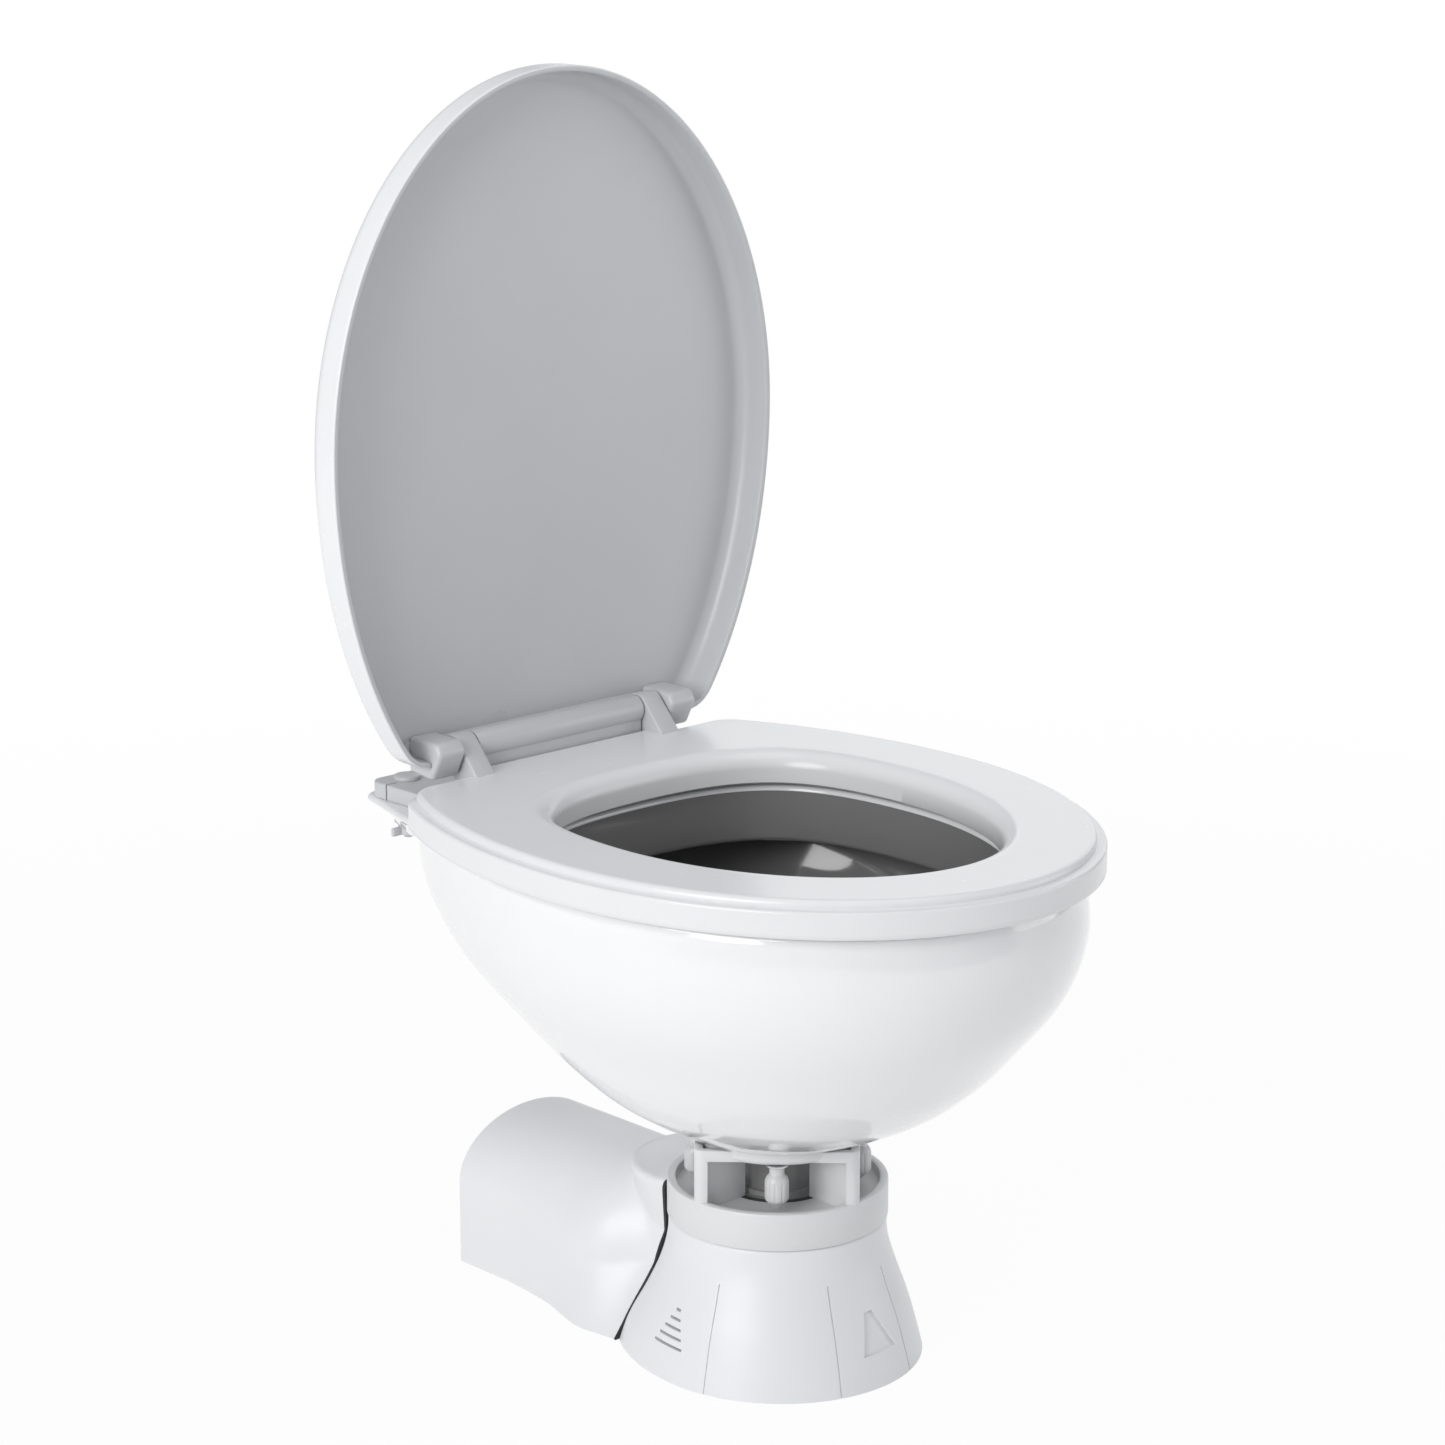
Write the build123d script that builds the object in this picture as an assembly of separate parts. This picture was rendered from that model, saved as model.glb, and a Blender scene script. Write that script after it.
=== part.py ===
from build123d import *
import math
import os

os.makedirs("parts", exist_ok=True)

# Sizes are in millimetres. The origin is on the floor, on the upright axis of the bowl's
# outlet. The toilet faces -Y and its hinge is at the rear, towards +Y. X runs across it.

# Fits and cuts
overrun = 1.0             # how far a cutting tool passes the face that it opens
running_gap = 0.05        # radial clearance of a shaft in its hole
free_gap = 0.4            # clearance between pieces that must not touch
seat_gap = 0.02           # clearance of a piece that sits in a socket of the same body

# Bowl, rim and deck
bowl_height = 160.0       # from its foot to its rim
widest_y = 14.0           # the widest line of bowl, seat and lid lies behind the outlet axis
seat_overhang = 10.7      # the seat passes the rim by this much at the sides and the front
rim_rear_inset = 7.0      # and the dish's rear tip by this much
rim_plate = 10.0
rim_round = 3.0
bowl_wall = 9.0
bowl_floor = 14.0
rear_mass = 50.0          # china between the cavity and the dish's rear tip
flush_lip_depth = 34.0
flush_lip_wall = 6.0
rim_opening_margin = 5.0  # the rim's opening is this much larger than the seat's
deck_margin = 12.0        # the deck passes the hinge plate behind by this much
deck_length = 133.0       # front to back
deck_tuck = 2.9           # its front corners lie this far inside the rim
deck_thickness = 15.0
deck_corner = 12.0
deck_draft = 13.0         # how far its sides slope in below
spigot_radius = 20.5
spigot_bore = 16.5
spigot_length = 40.0
sump_radius = 34.0
# Each row gives one level of the dish, from its foot to its rim: its height, half width,
# front reach and rear reach.
dish_shares = (
    (0.0, 0.355, 0.300, 0.226),
    (0.05, 0.448, 0.404, 0.288),
    (0.13, 0.578, 0.543, 0.392),
    (0.256, 0.714, 0.690, 0.532),
    (0.4125, 0.833, 0.820, 0.694),
    (0.6, 0.955, 0.952, 0.858),
    (0.8, 1.012, 1.014, 0.962),
    (1.0, 1.0, 1.0, 1.0),
)

# Seat
seat_width = 330.0
seat_front_reach = 207.0  # from the widest line to the front tip
seat_rear_share = 0.77    # the width of the seat's straight rear edge, of the full width
seat_setback = 19.0       # from the straight rear edge to the hinge axis
rim_gap = 2.5             # the seat stands this high above the rim on its buffers
band_height = 14.8
slab_height = 4.7
slab_step = 5.4
slab_round = 3.2
band_round = 1.5
seat_corner = 14.0
seat_skin = 4.0
seat_rib = 3.0
seat_rib_count = 10
seat_side_width = 57.5    # the ring's width at its sides, in front and behind
seat_nose_width = 56.5
seat_heel_width = 54.5
throat_y = 8.0            # the throat's widest line
throat_round = 10.5
throat_square_share = 0.76
tongue_gap = 7.0          # from the tongue's edge to the hinge axis
tongue_thickness = 11.0
buffer_foot_height = 5.6
buffer_stem_radius = 3.0
buffer_stem_length = 7.0
buffer_boss_wall = 4.0
# Buffer places, as shares of the seat's half width and of its front reach.
buffer_place_shares = ((0.62, -0.46), (0.68, 0.5))

# Hinge
hinge_y = 188.0
hinge_rise = 12.4         # the hinge axis lies this high above the seat
pin_radius = 3.2
barrel_radius = 8.3
arm_width = 14.0
arm_radius = 8.8
side_gap = 1.0            # between barrel, seat arm and lid lug
plate_side_inset = 2.0    # the lid's lugs pass the hinge plate by this much
plate_lead = 10.0         # from the plate's front edge to the hinge axis
plate_depth = 63.0
plate_thickness = 9.5
plate_corner = 8.0
plate_round = 2.0
web_lead = 5.5
web_thickness = 6.0
hinge_bolt_side = 18.0    # from the plate's side to the bolt
hinge_bolt_back = 13.0    # from the plate's rear edge to the bolt
hinge_bolt_radius = 3.0
hinge_bolt_hole = 3.4
hinge_head_radius = 8.0
hinge_head_height = 3.2
hinge_bolt_end = 5.0      # thread showing under the nut
hinge_washer_radius = 8.0
hinge_washer_thickness = 1.5
hinge_nut_radius = 6.0
hinge_nut_height = 7.0
wing_reach = 6.0
wing_height = 5.0
wing_thickness = 2.5

# Lid
lid_overhang = 1.5        # the lid passes the seat's front tip by this much
lid_gap = 4.0             # from the seat to the closed lid's rim
lid_depth = 24.0
lid_tail = 6.0            # the lid passes the hinge axis by this much
lid_corner = 14.0
lid_skin = 3.0
lid_wall = 3.5
lid_round = 11.0
lid_inner_round = 8.0
lid_open_angle = 89.2
lug_width = 19.5
lug_set_in = 28.0         # the lugs lie this far inside the seat's rear corners
lug_round = 3.0
lug_blind_end = 5.0
lid_notch_gap = 2.5
lid_notch_lead = 1.5
# Lug outline in the closed pose, from the hinge axis: how far behind it and above it.
lug_front = 8.6
lug_drop_front = 12.0
lug_toe = 2.6
lug_drop = 16.0
lug_heel = 13.8
lug_drop_rear = 8.0
lug_shoulder = 12.0

# Support under the bowl
bell_height = 81.0        # the collar stands on the bell at this level
collar_radius = 62.5
collar_wall = 5.0
collar_height = 21.5
collar_well = 5.5         # from the collar's rim down to its floor
collar_floor_thickness = 5.0
tower_height = 37.0       # from the collar's floor to the bowl's foot
tower_half = 45.8
tower_angle = 45.0
tower_corner = 5.0
tower_wall = 5.0
post_width = 7.8
web_wall = 3.0
frame_height = 7.5
flange_radius = 52.0
frame_bore = 34.0
stud_circle = 46.0
stud_count = 4
stud_angle = 45.0
stud_radius = 3.0
stud_depth = 9.0          # into the bowl's foot
nut_radius = 6.7
nut_floor_gap = 3.3       # under the nut's tip
nut_tip_height = 5.0
nut_neck_height = 4.8
nut_neck_radius = 4.2
nut_tip_radius = 1.5
washer_thickness = 1.2
washer_radius = 6.5
pedestal_inset = 7.5      # from the collar's side to the pedestal's
pedestal_wall = 4.0
pedestal_gate_y = 14.0    # the pedestal is open behind this line, for the pump
support_screw_inset = 6.0     # from the pedestal's side to the screws
support_screw_angle = 32.0    # either side of the front
support_boss_radius = 5.0
screw_radius = 2.0
screw_head_radius = 4.0
screw_head_height = 2.5
screw_depth = 12.0

# Floor plate
plate_floor_thickness = 5.0
floor_bolt_spacing = 96.0
floor_bolt_hole = 4.25
floor_plate_inset = 6.0
tail_half_width = 44.0
tail_lip_thickness = 6.0
tail_lip_height = 14.0

# Bell shroud and motor cover
shell_wall = 3.0
shadow_gap = 0.5
bell_top_inset = 1.0      # the collar passes the bell's top by this much
bell_foot_half = 82.0
bell_foot_front = 83.7
bell_foot_rear = 101.0
# Each row gives one level of the bell: its height, and how much of the flare from the
# round top to the foot it has at the sides, in front and behind.
bell_shares = (
    (0.0, 1.0, 1.0, 1.0),
    (0.167, 0.840, 0.838, 0.821),
    (0.395, 0.592, 0.582, 0.391),
    (0.617, 0.288, 0.276, 0.138),
    (0.840, 0.040, 0.039, 0.018),
    (1.0, 0.0, 0.0, 0.0),
)
seam_foot_y = 65.0
seam_top_y = 45.0
seam_top_height = 100.0
seam_gap = 0.1            # on each side of the seal
seal_thickness = 1.8
seal_proud = 0.5
cover_shoulder_radius = 46.0
cover_shoulder_foot_radius = 34.0
cover_shoulder_height = 45.0
cover_shoulder_y = 57.0
cover_shoulder_round = 4.0
cover_headroom = 14.5     # from the motor to the cover's top
cover_end_y = 216.0
cover_half_width = 55.5
# Each row gives one section of the cover from front to back: its place, the half width at
# the floor and at the top of the walls, the height of the walls, and the top.
cover_shares = (
    (0.20, 1.19, 0.72, 0.50, 0.93),
    (0.30, 1.17, 0.76, 0.46, 0.98),
    (0.43, 1.235, 1.03, 0.42, 1.0),
    (0.615, 1.063, 1.04, 0.42, 1.0),
    (0.76, 1.0, 0.99, 0.50, 0.995),
    (1.0, 1.0, 1.0, 0.56, 0.975),
)
panel_line_angles = (-74.0, -19.0, 19.0, 74.0)
panel_line_height = 59.0
panel_line_width = 0.9
panel_line_depth = 0.8
louvre_low = 18.2
louvre_pitch = 5.0
louvre_slot = 1.6
louvre_count = 5
louvre_front = 3.0        # the lowest slot starts this far in front of the outlet axis
louvre_longest = 24.0
louvre_step = 5.0         # each slot is this much shorter than the one below
louvre_lean = 1.7         # and starts this much further back
niche_low = 18.0
niche_height = 23.0
niche_left = 9.0          # its foot and its top, either side of the middle
niche_right = 17.5
niche_top_left = 2.5
niche_top_right = 4.0
niche_depth = 2.0

# Pump
pump_x = -4.0
pump_drop = 47.0          # from the collar's floor to the pump's axis
pump_front_y = 12.0
pump_depth = 34.0
pump_radius = 29.0
pump_bore = 24.0
pump_front_wall = 4.0
pump_back_thickness = 6.0
pump_screw_circle = 26.5
pump_screw_angle = 0.0
pump_screw_count = 4
pump_foot_half = 20.0
socket_radius = 30.0
socket_bore = 26.5
socket_depth = 8.0
neck_radius = 21.0
neck_bore = 14.0
neck_drop = 20.0          # from the pump's axis to the neck's foot
port_radius = 15.0
port_bore = 11.0
outlet_seal_lip_radius = 23.0
outlet_seal_lip_height = 3.0
shaft_radius = 4.0
shaft_tip_y = 17.0
impeller_y = 27.0
impeller_radius = 22.5
impeller_hub = 8.0
impeller_disc = 2.5
impeller_depth = 16.0
impeller_blade_count = 6
impeller_blade = 2.5
impeller_sweep = 150.0
cutter_y = 22.5
cutter_thickness = 3.0
cutter_bore = 12.0
cutter_notch_count = 8
cutter_notch = 5.0
chopper_y = 18.0
chopper_length = 42.0
chopper_width = 9.0
chopper_thickness = 3.0
chopper_hub = 7.0
chopper_grind = 30.0      # the angle of its ground edges
shaft_seal_radius = 9.0

# Motor
motor_radius = 26.0
motor_length = 108.0
motor_wall = 2.0
motor_front_wall = 8.0
end_cap_thickness = 9.0
bearing_radius = 10.0
bearing_width = 7.0
# The radii between which a bearing's rings leave room for its balls.
bearing_gap_shares = (0.78, 0.55)
magnet_thickness = 4.0
magnet_length = 66.0
magnet_angle = 130.0
armature_start = 22.0     # behind the motor's front face
armature_radius = 18.5
armature_length = 62.0
armature_slot_count = 10
armature_slot = 3.0
armature_slot_depth = 5.5
commutator_radius = 10.0
commutator_length = 12.0
cradle_half = 19.0
cradle_wall = 6.0
cradle_wrap = 7.0         # how far the saddles reach up round the motor
cradle_start = 14.0       # behind the motor's front face
cradle_pitch = 70.0

# Discharge, flush inlet and cable gland
discharge_x = 29.0
discharge_drop = 24.0     # from the pump's axis to the discharge's
discharge_radius = 19.0
discharge_boss_radius = 19.6  # inside the cover and through its wall
discharge_bore = 12.5
discharge_tail = 34.0     # the spigot's length behind the cover
discharge_inside = 16.0
discharge_flange = 20.6
discharge_flange_thickness = 3.0
stub_front_y = 18.0
stub_radius = 14.0
stub_bore = 11.0
link_radius = 10.0
link_bore = 7.5
pipe_radius = 14.0
valve_flange_thickness = 2.0
valve_length = 30.0
valve_radius = 11.0
valve_wall = 2.0
valve_slit = 3.0
barb_height = 1.2
barb_pitch = 8.0
barb_count = 3
inlet_barb_count = 2
inlet_setback = 26.0      # behind the hinge axis
inlet_radius = 9.5
inlet_plug_radius = 10.0
inlet_bore = 6.5
inlet_depth = 44.0
inlet_hole_radius = 12.0
inlet_tail = 26.0
inlet_engagement = 18.0
inlet_flange_radius = 16.0
inlet_flange_thickness = 3.0
inlet_drop = 82.0         # from the rim to the inlet's boss
inlet_pad_radius = 17.0
gland_x = -30.0
gland_rise = 16.0         # above the pump's axis
gland_radius = 7.0
gland_length = 16.0
gland_flange = 9.5
gland_flange_thickness = 2.5
gland_bore = 3.5
cover_screw_rise = 7.0    # above the floor plate
cover_screw_xs = (-32.0, 0.0)

# Heights that follow from the sizes above, from the floor up
collar_rim_height = bell_height + collar_height
collar_floor_height = collar_rim_height - collar_well
bowl_foot_height = collar_floor_height + tower_height
frame_underside = bowl_foot_height - frame_height
rim_height = bowl_foot_height + bowl_height
deck_underside = rim_height - deck_thickness
inlet_underside_height = rim_height - inlet_drop
plate_top = rim_height + plate_thickness
seat_base = rim_height + rim_gap
band_top = seat_base + band_height
seat_top = band_top + slab_height
hinge_height = seat_top + hinge_rise
lid_rim_height = seat_top + lid_gap
lid_top = lid_rim_height + lid_depth
pump_axis_height = collar_floor_height - pump_drop
neck_foot_height = pump_axis_height - neck_drop
discharge_height = pump_axis_height - discharge_drop
gland_height = pump_axis_height + gland_rise
cover_top = pump_axis_height + motor_radius + cover_headroom
cover_shoulder_foot = collar_floor_height - cover_shoulder_height
cover_screw_height = plate_floor_thickness + cover_screw_rise
cradle_rise = pump_axis_height - plate_floor_thickness - motor_radius + cradle_wrap
nut_height = tower_height - frame_height - washer_thickness - nut_floor_gap
nut_dome_height = math.sqrt(nut_radius ** 2 - nut_neck_radius ** 2)
nut_body_height = nut_height - nut_tip_height - nut_dome_height - nut_neck_height

# Places across, from the seat's rear corners to the hinge's middle
seat_half = seat_width / 2
lug_outer = seat_half * seat_rear_share - lug_set_in
lug_inner = lug_outer - lug_width
arm_outer = lug_inner - side_gap
arm_inner = arm_outer - arm_width
barrel_half_length = arm_inner - side_gap
pin_length = 2 * (lug_outer - lug_blind_end - free_gap)
tongue_half_width = (arm_inner + arm_outer) / 2
plate_half_width = lug_outer - plate_side_inset
hinge_bolt_x = plate_half_width - hinge_bolt_side

# Places along, from the seat's front to the deck's rear edge
seat_front_y = widest_y - seat_front_reach
seat_rear_y = hinge_y - seat_setback
seat_rear_reach = (seat_rear_y - widest_y) / math.sqrt(1 - seat_rear_share ** 2)
tongue_rear_y = hinge_y - tongue_gap
web_front_y = hinge_y - web_lead
lid_notch_y = hinge_y - lid_notch_lead
lid_rear_y = hinge_y + lid_tail
plate_front_y = hinge_y - plate_lead
plate_rear_y = plate_front_y + plate_depth
hinge_bolt_y = plate_rear_y - hinge_bolt_back
inlet_y = hinge_y + inlet_setback
deck_rear_y = plate_rear_y + deck_margin
deck_front_y = deck_rear_y - deck_length

# The throat, the rim and the deck's corners, from the seat's outline
throat_half_width = seat_half - seat_side_width
throat_front = throat_y - seat_front_y - seat_nose_width
throat_rear = seat_rear_y - seat_heel_width - throat_y
rim_half_width = seat_half - seat_overhang
rim_front = -seat_front_y - seat_overhang
rim_rear = widest_y + seat_rear_reach - rim_rear_inset
cavity_rear = rim_rear - rear_mass
deck_place_share = (deck_front_y - widest_y) / (rim_rear - widest_y)
deck_front_half = rim_half_width * math.sqrt(1 - deck_place_share ** 2) - deck_tuck
deck_rear_half = plate_half_width

# The bell and the pedestal, from the collar
bell_top_radius = collar_radius - bell_top_inset
bell_foot_reaches = (bell_foot_half, bell_foot_front, bell_foot_rear)
pedestal_radius = collar_radius - pedestal_inset
support_screw_circle = pedestal_radius - support_screw_inset

# Pump, motor and discharge, from the front to the cover's end
pump_back_y = pump_front_y + pump_depth
motor_front_y = pump_back_y + pump_back_thickness
motor_rear_y = motor_front_y + motor_length
stub_rear_y = motor_front_y
tail_end_y = cover_end_y - shell_wall - free_gap
spigot_front_y = cover_end_y - shell_wall - discharge_inside
tall = rim_height + lid_depth      # longer than any cut needs to be
hinge_axis = Axis((0, hinge_y, hinge_height), (1, 0, 0))


def egg(half_width, front_y, rear_y, centre_y):
    """A flat egg: a front and a rear half ellipse that meet on the widest line."""
    front = EllipticalCenterArc(
        (0, centre_y), half_width, centre_y - front_y, start_angle=180, arc_size=180
    )
    rear = EllipticalCenterArc(
        (0, centre_y), half_width, rear_y - centre_y, start_angle=0, arc_size=180
    )
    return make_face([front, rear])


def throat(margin):
    """The seat's opening: a half ellipse in front and a squarer half behind."""
    half = throat_half_width + margin
    rear = throat_rear + margin
    handle = throat_square_share
    front = EllipticalCenterArc(
        (0, throat_y), half, throat_front + margin, start_angle=180, arc_size=180
    )
    corners = [
        Bezier(
            (side * half, throat_y),
            (side * half, throat_y + handle * rear),
            (side * handle * half, throat_y + rear),
            (0, throat_y + rear),
        )
        for side in (-1, 1)
    ]
    return make_face([front, *corners])


def rounded_plan(half_width, front_y, rear_y, corner):
    """A flat rectangle with round corners, mirrored about X = 0."""
    size_y = rear_y - front_y
    plan = RectangleRounded(2 * half_width, size_y, corner)
    return Pos(0, front_y + size_y / 2) * plan


def ring(outer, inner, height):
    """A plain upright tube that stands on its origin."""
    return cylinder(outer, height) - Pos(0, 0, -overrun) * cylinder(inner, height + 2 * overrun)


def cylinder(radius, height):
    """An upright cylinder that stands on its origin."""
    return Cylinder(radius, height, align=(Align.CENTER, Align.CENTER, Align.MIN))


def block(half_x, front_y, rear_y, low, high):
    """A box, mirrored about X = 0."""
    size = (2 * half_x, rear_y - front_y, high - low)
    return Pos(0, (front_y + rear_y) / 2, (low + high) / 2) * Box(*size)


def toward_rear(x, y, z):
    """A place whose own Z axis points to the rear."""
    return Pos(x, y, z) * Rot(-90, 0, 0)


def barbs(radius, length, count):
    """A solid hose tail: a plain stretch that ends in saw-tooth barbs, standing on its origin."""
    plain_length = length - barb_pitch * count
    body = cylinder(radius, plain_length)
    for number in range(count):
        barb = Cone(
            radius, radius - barb_height, barb_pitch, align=(Align.CENTER, Align.CENTER, Align.MIN)
        )
        body += Pos(0, 0, plain_length + barb_pitch * number) * barb
    return body


# Bowl

def dish(half_width, front, rear, low, high):
    """The bowl's round body, from its foot at low to its rim at high."""
    sections = []
    for height_share, width_share, front_share, rear_share in dish_shares:
        centre = widest_y * width_share
        section = egg(half_width * width_share, -front * front_share, rear * rear_share, centre)
        sections.append(Pos(0, 0, low + (high - low) * height_share) * section)
    return loft(sections)


def deck_plan(inset):
    corners = [
        (-deck_front_half + inset, deck_front_y),
        (deck_front_half - inset, deck_front_y),
        (deck_rear_half - inset, deck_rear_y - inset),
        (-deck_rear_half + inset, deck_rear_y - inset),
    ]
    plan = make_face(Polyline(*corners, close=True))
    return fillet(plan.vertices().group_by(Axis.Y)[-1], deck_corner)


def deck():
    """The shelf behind the rim that carries the hinge; its sides slope in below."""
    shelf = loft([
        Pos(0, 0, deck_underside) * deck_plan(deck_draft),
        Pos(0, 0, rim_height) * deck_plan(0),
    ])
    top = shelf.faces().sort_by(Axis.Z)[-1]
    side_and_rear_edges = top.outer_wire().edges().sort_by(Axis.Y)[1:]
    return fillet(side_and_rear_edges, rim_round)


def bowl():
    body = dish(rim_half_width, rim_front, rim_rear, bowl_foot_height, rim_height)
    body = fillet(body.faces().sort_by(Axis.Z)[-1].outer_wire().edges(), rim_round)
    body += deck()
    body += Pos(0, inlet_y, inlet_underside_height) * cylinder(inlet_pad_radius, inlet_depth)
    cavity_half = rim_half_width - bowl_wall
    cavity_front = rim_front - bowl_wall
    cavity_floor = bowl_foot_height + bowl_floor
    cavity_top = rim_height - rim_plate
    cavity = dish(cavity_half, cavity_front, cavity_rear, cavity_floor, cavity_top)
    opening = Pos(0, 0, cavity_top - overrun) * extrude(
        throat(rim_opening_margin), rim_plate + 2 * overrun
    )
    lip = extrude(throat(rim_opening_margin + flush_lip_wall), flush_lip_depth - rim_plate)
    lip -= Pos(0, 0, -overrun) * extrude(throat(rim_opening_margin), flush_lip_depth)
    body = body - cavity - opening
    body += Pos(0, 0, rim_height - flush_lip_depth) * lip
    body += Pos(0, 0, bowl_foot_height - spigot_length) * cylinder(
        spigot_radius, spigot_length + bowl_floor / 2
    )
    body -= Pos(0, 0, bowl_foot_height - spigot_length - overrun) * cylinder(
        spigot_bore, spigot_length + bowl_floor + 2 * overrun
    )
    sump = Cone(spigot_bore, sump_radius, bowl_floor, align=(Align.CENTER, Align.CENTER, Align.MIN))
    body -= Pos(0, 0, bowl_foot_height) * sump
    for place in stud_places():
        hole = cylinder(stud_radius + running_gap, stud_depth + overrun)
        body -= place * Pos(0, 0, bowl_foot_height - overrun) * hole
    for side in (-1, 1):
        hole = cylinder(hinge_bolt_hole, tall)
        body -= Pos(side * hinge_bolt_x, hinge_bolt_y, cavity_floor) * hole
    passage = cylinder(inlet_hole_radius, inlet_depth)
    body -= Pos(0, inlet_y, inlet_underside_height - overrun) * passage
    channel_length = inlet_y - cavity_rear + spigot_radius
    channel = cylinder(inlet_bore, channel_length)
    channel_z = inlet_underside_height + inlet_depth - 2 * inlet_bore
    body -= toward_rear(0, inlet_y - channel_length, channel_z) * channel
    return body


def around(radius, count, first_angle):
    """Places on a circle about the upright axis."""
    return [
        Rot(0, 0, first_angle + 360 * number / count) * Pos(radius, 0, 0)
        for number in range(count)
    ]


def stud_places():
    return around(stud_circle, stud_count, stud_angle)


def bowl_studs():
    pieces = []
    low = frame_underside - washer_thickness - nut_height + nut_tip_height
    for place in stud_places():
        stud = cylinder(stud_radius, bowl_foot_height + stud_depth - low)
        pieces.append(place * Pos(0, 0, low) * stud)
    return Compound(pieces)


def bowl_nut():
    """A long nut with a dome and a neck above and a tapered tip below, standing on its tip."""
    shoulder = nut_tip_height + nut_body_height
    dome = math.asin(nut_dome_height / nut_radius)
    dome_points = [
        (nut_radius * math.cos(turn), shoulder + nut_radius * math.sin(turn))
        for turn in (0, dome / 2, dome)
    ]
    outline = make_face([
        Polyline((0, 0), (nut_tip_radius, 0), (nut_radius, nut_tip_height), dome_points[0]),
        ThreePointArc(*dome_points),
        Polyline(dome_points[-1], (nut_neck_radius, nut_height), (0, nut_height), (0, 0)),
    ])
    body = revolve(Plane.XZ * outline, Axis.Z)
    bore = cylinder(stud_radius + seat_gap, nut_height)
    return body - Pos(0, 0, nut_tip_height) * bore


def bowl_nuts():
    low = frame_underside - washer_thickness - nut_height
    return Compound([place * Pos(0, 0, low) * bowl_nut() for place in stud_places()])


def bowl_washers():
    washer = ring(washer_radius, stud_radius + running_gap, washer_thickness)
    low = frame_underside - washer_thickness
    return Compound([place * Pos(0, 0, low) * washer for place in stud_places()])


def outlet_seal():
    """The rubber cup that holds the bowl's spigot in the pump's socket."""
    low = collar_floor_height - socket_depth
    foot = bowl_foot_height - spigot_length
    body = cylinder(socket_bore - seat_gap, socket_depth)
    body += cylinder(outlet_seal_lip_radius, socket_depth + outlet_seal_lip_height)
    body -= Pos(0, 0, -overrun) * cylinder(spigot_bore, socket_depth)
    body -= Pos(0, 0, foot - low) * cylinder(spigot_radius + seat_gap, socket_depth)
    return Pos(0, 0, low) * body


# Seat

def seat_plan(inset, rear_inset):
    plan = egg(
        seat_half - inset, seat_front_y + inset, widest_y + seat_rear_reach - inset, widest_y
    )
    depth = seat_width + seat_rear_reach
    keep = Pos(0, seat_rear_y - rear_inset - depth / 2) * Rectangle(2 * seat_width, depth)
    return plan & keep


def seat_arm(side):
    """The arm that joins the seat's tongue to the hinge pin."""
    root = Pos(tongue_rear_y - tongue_thickness, seat_top - tongue_thickness / 2)
    profile = make_hull((
        Pos(hinge_y, hinge_height) * Circle(arm_radius)
        + root * Rectangle(tongue_thickness, tongue_thickness)
    ).edges())
    arm = extrude(Plane.YZ * profile, arm_width)
    start = arm_inner if side > 0 else -arm_outer
    return Pos(start, 0, 0) * arm


def buffer_places():
    return [
        Pos(side * across * seat_half, along * seat_front_reach, 0)
        for side in (-1, 1)
        for across, along in buffer_place_shares
    ]


def seat():
    band = fillet(seat_plan(0, 0).vertices().group_by(Axis.Y)[-1], seat_corner / 2)
    slab = fillet(seat_plan(slab_step, 0).vertices().group_by(Axis.Y)[-1], seat_corner)
    body = Pos(0, 0, seat_base) * extrude(band, band_height)
    body = fillet(body.faces().sort_by(Axis.Z)[-1].outer_wire().edges(), band_round)
    body += Pos(0, 0, seat_base) * extrude(slab, seat_top - seat_base)
    body -= Pos(0, 0, seat_base - overrun) * extrude(throat(0), tall)
    top = body.faces().sort_by(Axis.Z)[-1]
    body = fillet(top.inner_wires()[0].edges(), throat_round)
    top = body.faces().sort_by(Axis.Z)[-1]
    body = fillet(top.outer_wire().edges(), slab_round)
    hollow_inset = slab_step + seat_skin
    hollow_plan = seat_plan(hollow_inset, hollow_inset) - throat(seat_skin + seat_rib)
    hollow_height = seat_top - seat_base - seat_skin
    hollow = extrude(hollow_plan, hollow_height)
    for number in range(seat_rib_count):
        turn = 360 * (number + 0.5) / seat_rib_count
        rib = Pos(seat_half, 0, tall / 2) * Box(seat_width, seat_rib, tall)
        hollow -= Pos(0, throat_y) * Rot(0, 0, turn) * rib
    boss_low = buffer_foot_height - rim_gap + free_gap
    for place in buffer_places():
        boss = cylinder(buffer_stem_radius + buffer_boss_wall, tall)
        hollow -= place * Pos(0, 0, boss_low) * boss
    body -= Pos(0, 0, seat_base) * hollow
    for place in buffer_places():
        pocket = cylinder(buffer_stem_radius + buffer_boss_wall + seat_gap, boss_low + overrun)
        body -= place * Pos(0, 0, seat_base - overrun) * pocket
        stem = cylinder(buffer_stem_radius + seat_gap, buffer_stem_length + free_gap)
        body -= place * Pos(0, 0, seat_base + boss_low - overrun) * stem
    tongue = block(
        tongue_half_width, seat_rear_y - tongue_thickness, tongue_rear_y,
        seat_top - tongue_thickness, seat_top,
    )
    body += tongue
    for side in (-1, 1):
        body += seat_arm(side)
    bore = Cylinder(pin_radius + running_gap, 2 * arm_outer + overrun)
    body -= Pos(0, hinge_y, hinge_height) * Rot(0, 90, 0) * bore
    return body


def seat_buffers():
    """Four rubber buffers, plugged into the seat's underside just above the rim."""
    foot = cylinder(buffer_stem_radius + buffer_boss_wall, buffer_foot_height)
    foot = fillet(foot.edges().group_by(Axis.Z)[0], buffer_foot_height / 4)
    stem = cylinder(buffer_stem_radius, buffer_stem_length - overrun)
    piece = foot + Pos(0, 0, buffer_foot_height) * stem
    low = rim_height + free_gap
    return Compound([place * Pos(0, 0, low) * piece for place in buffer_places()])


# Hinge

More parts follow.
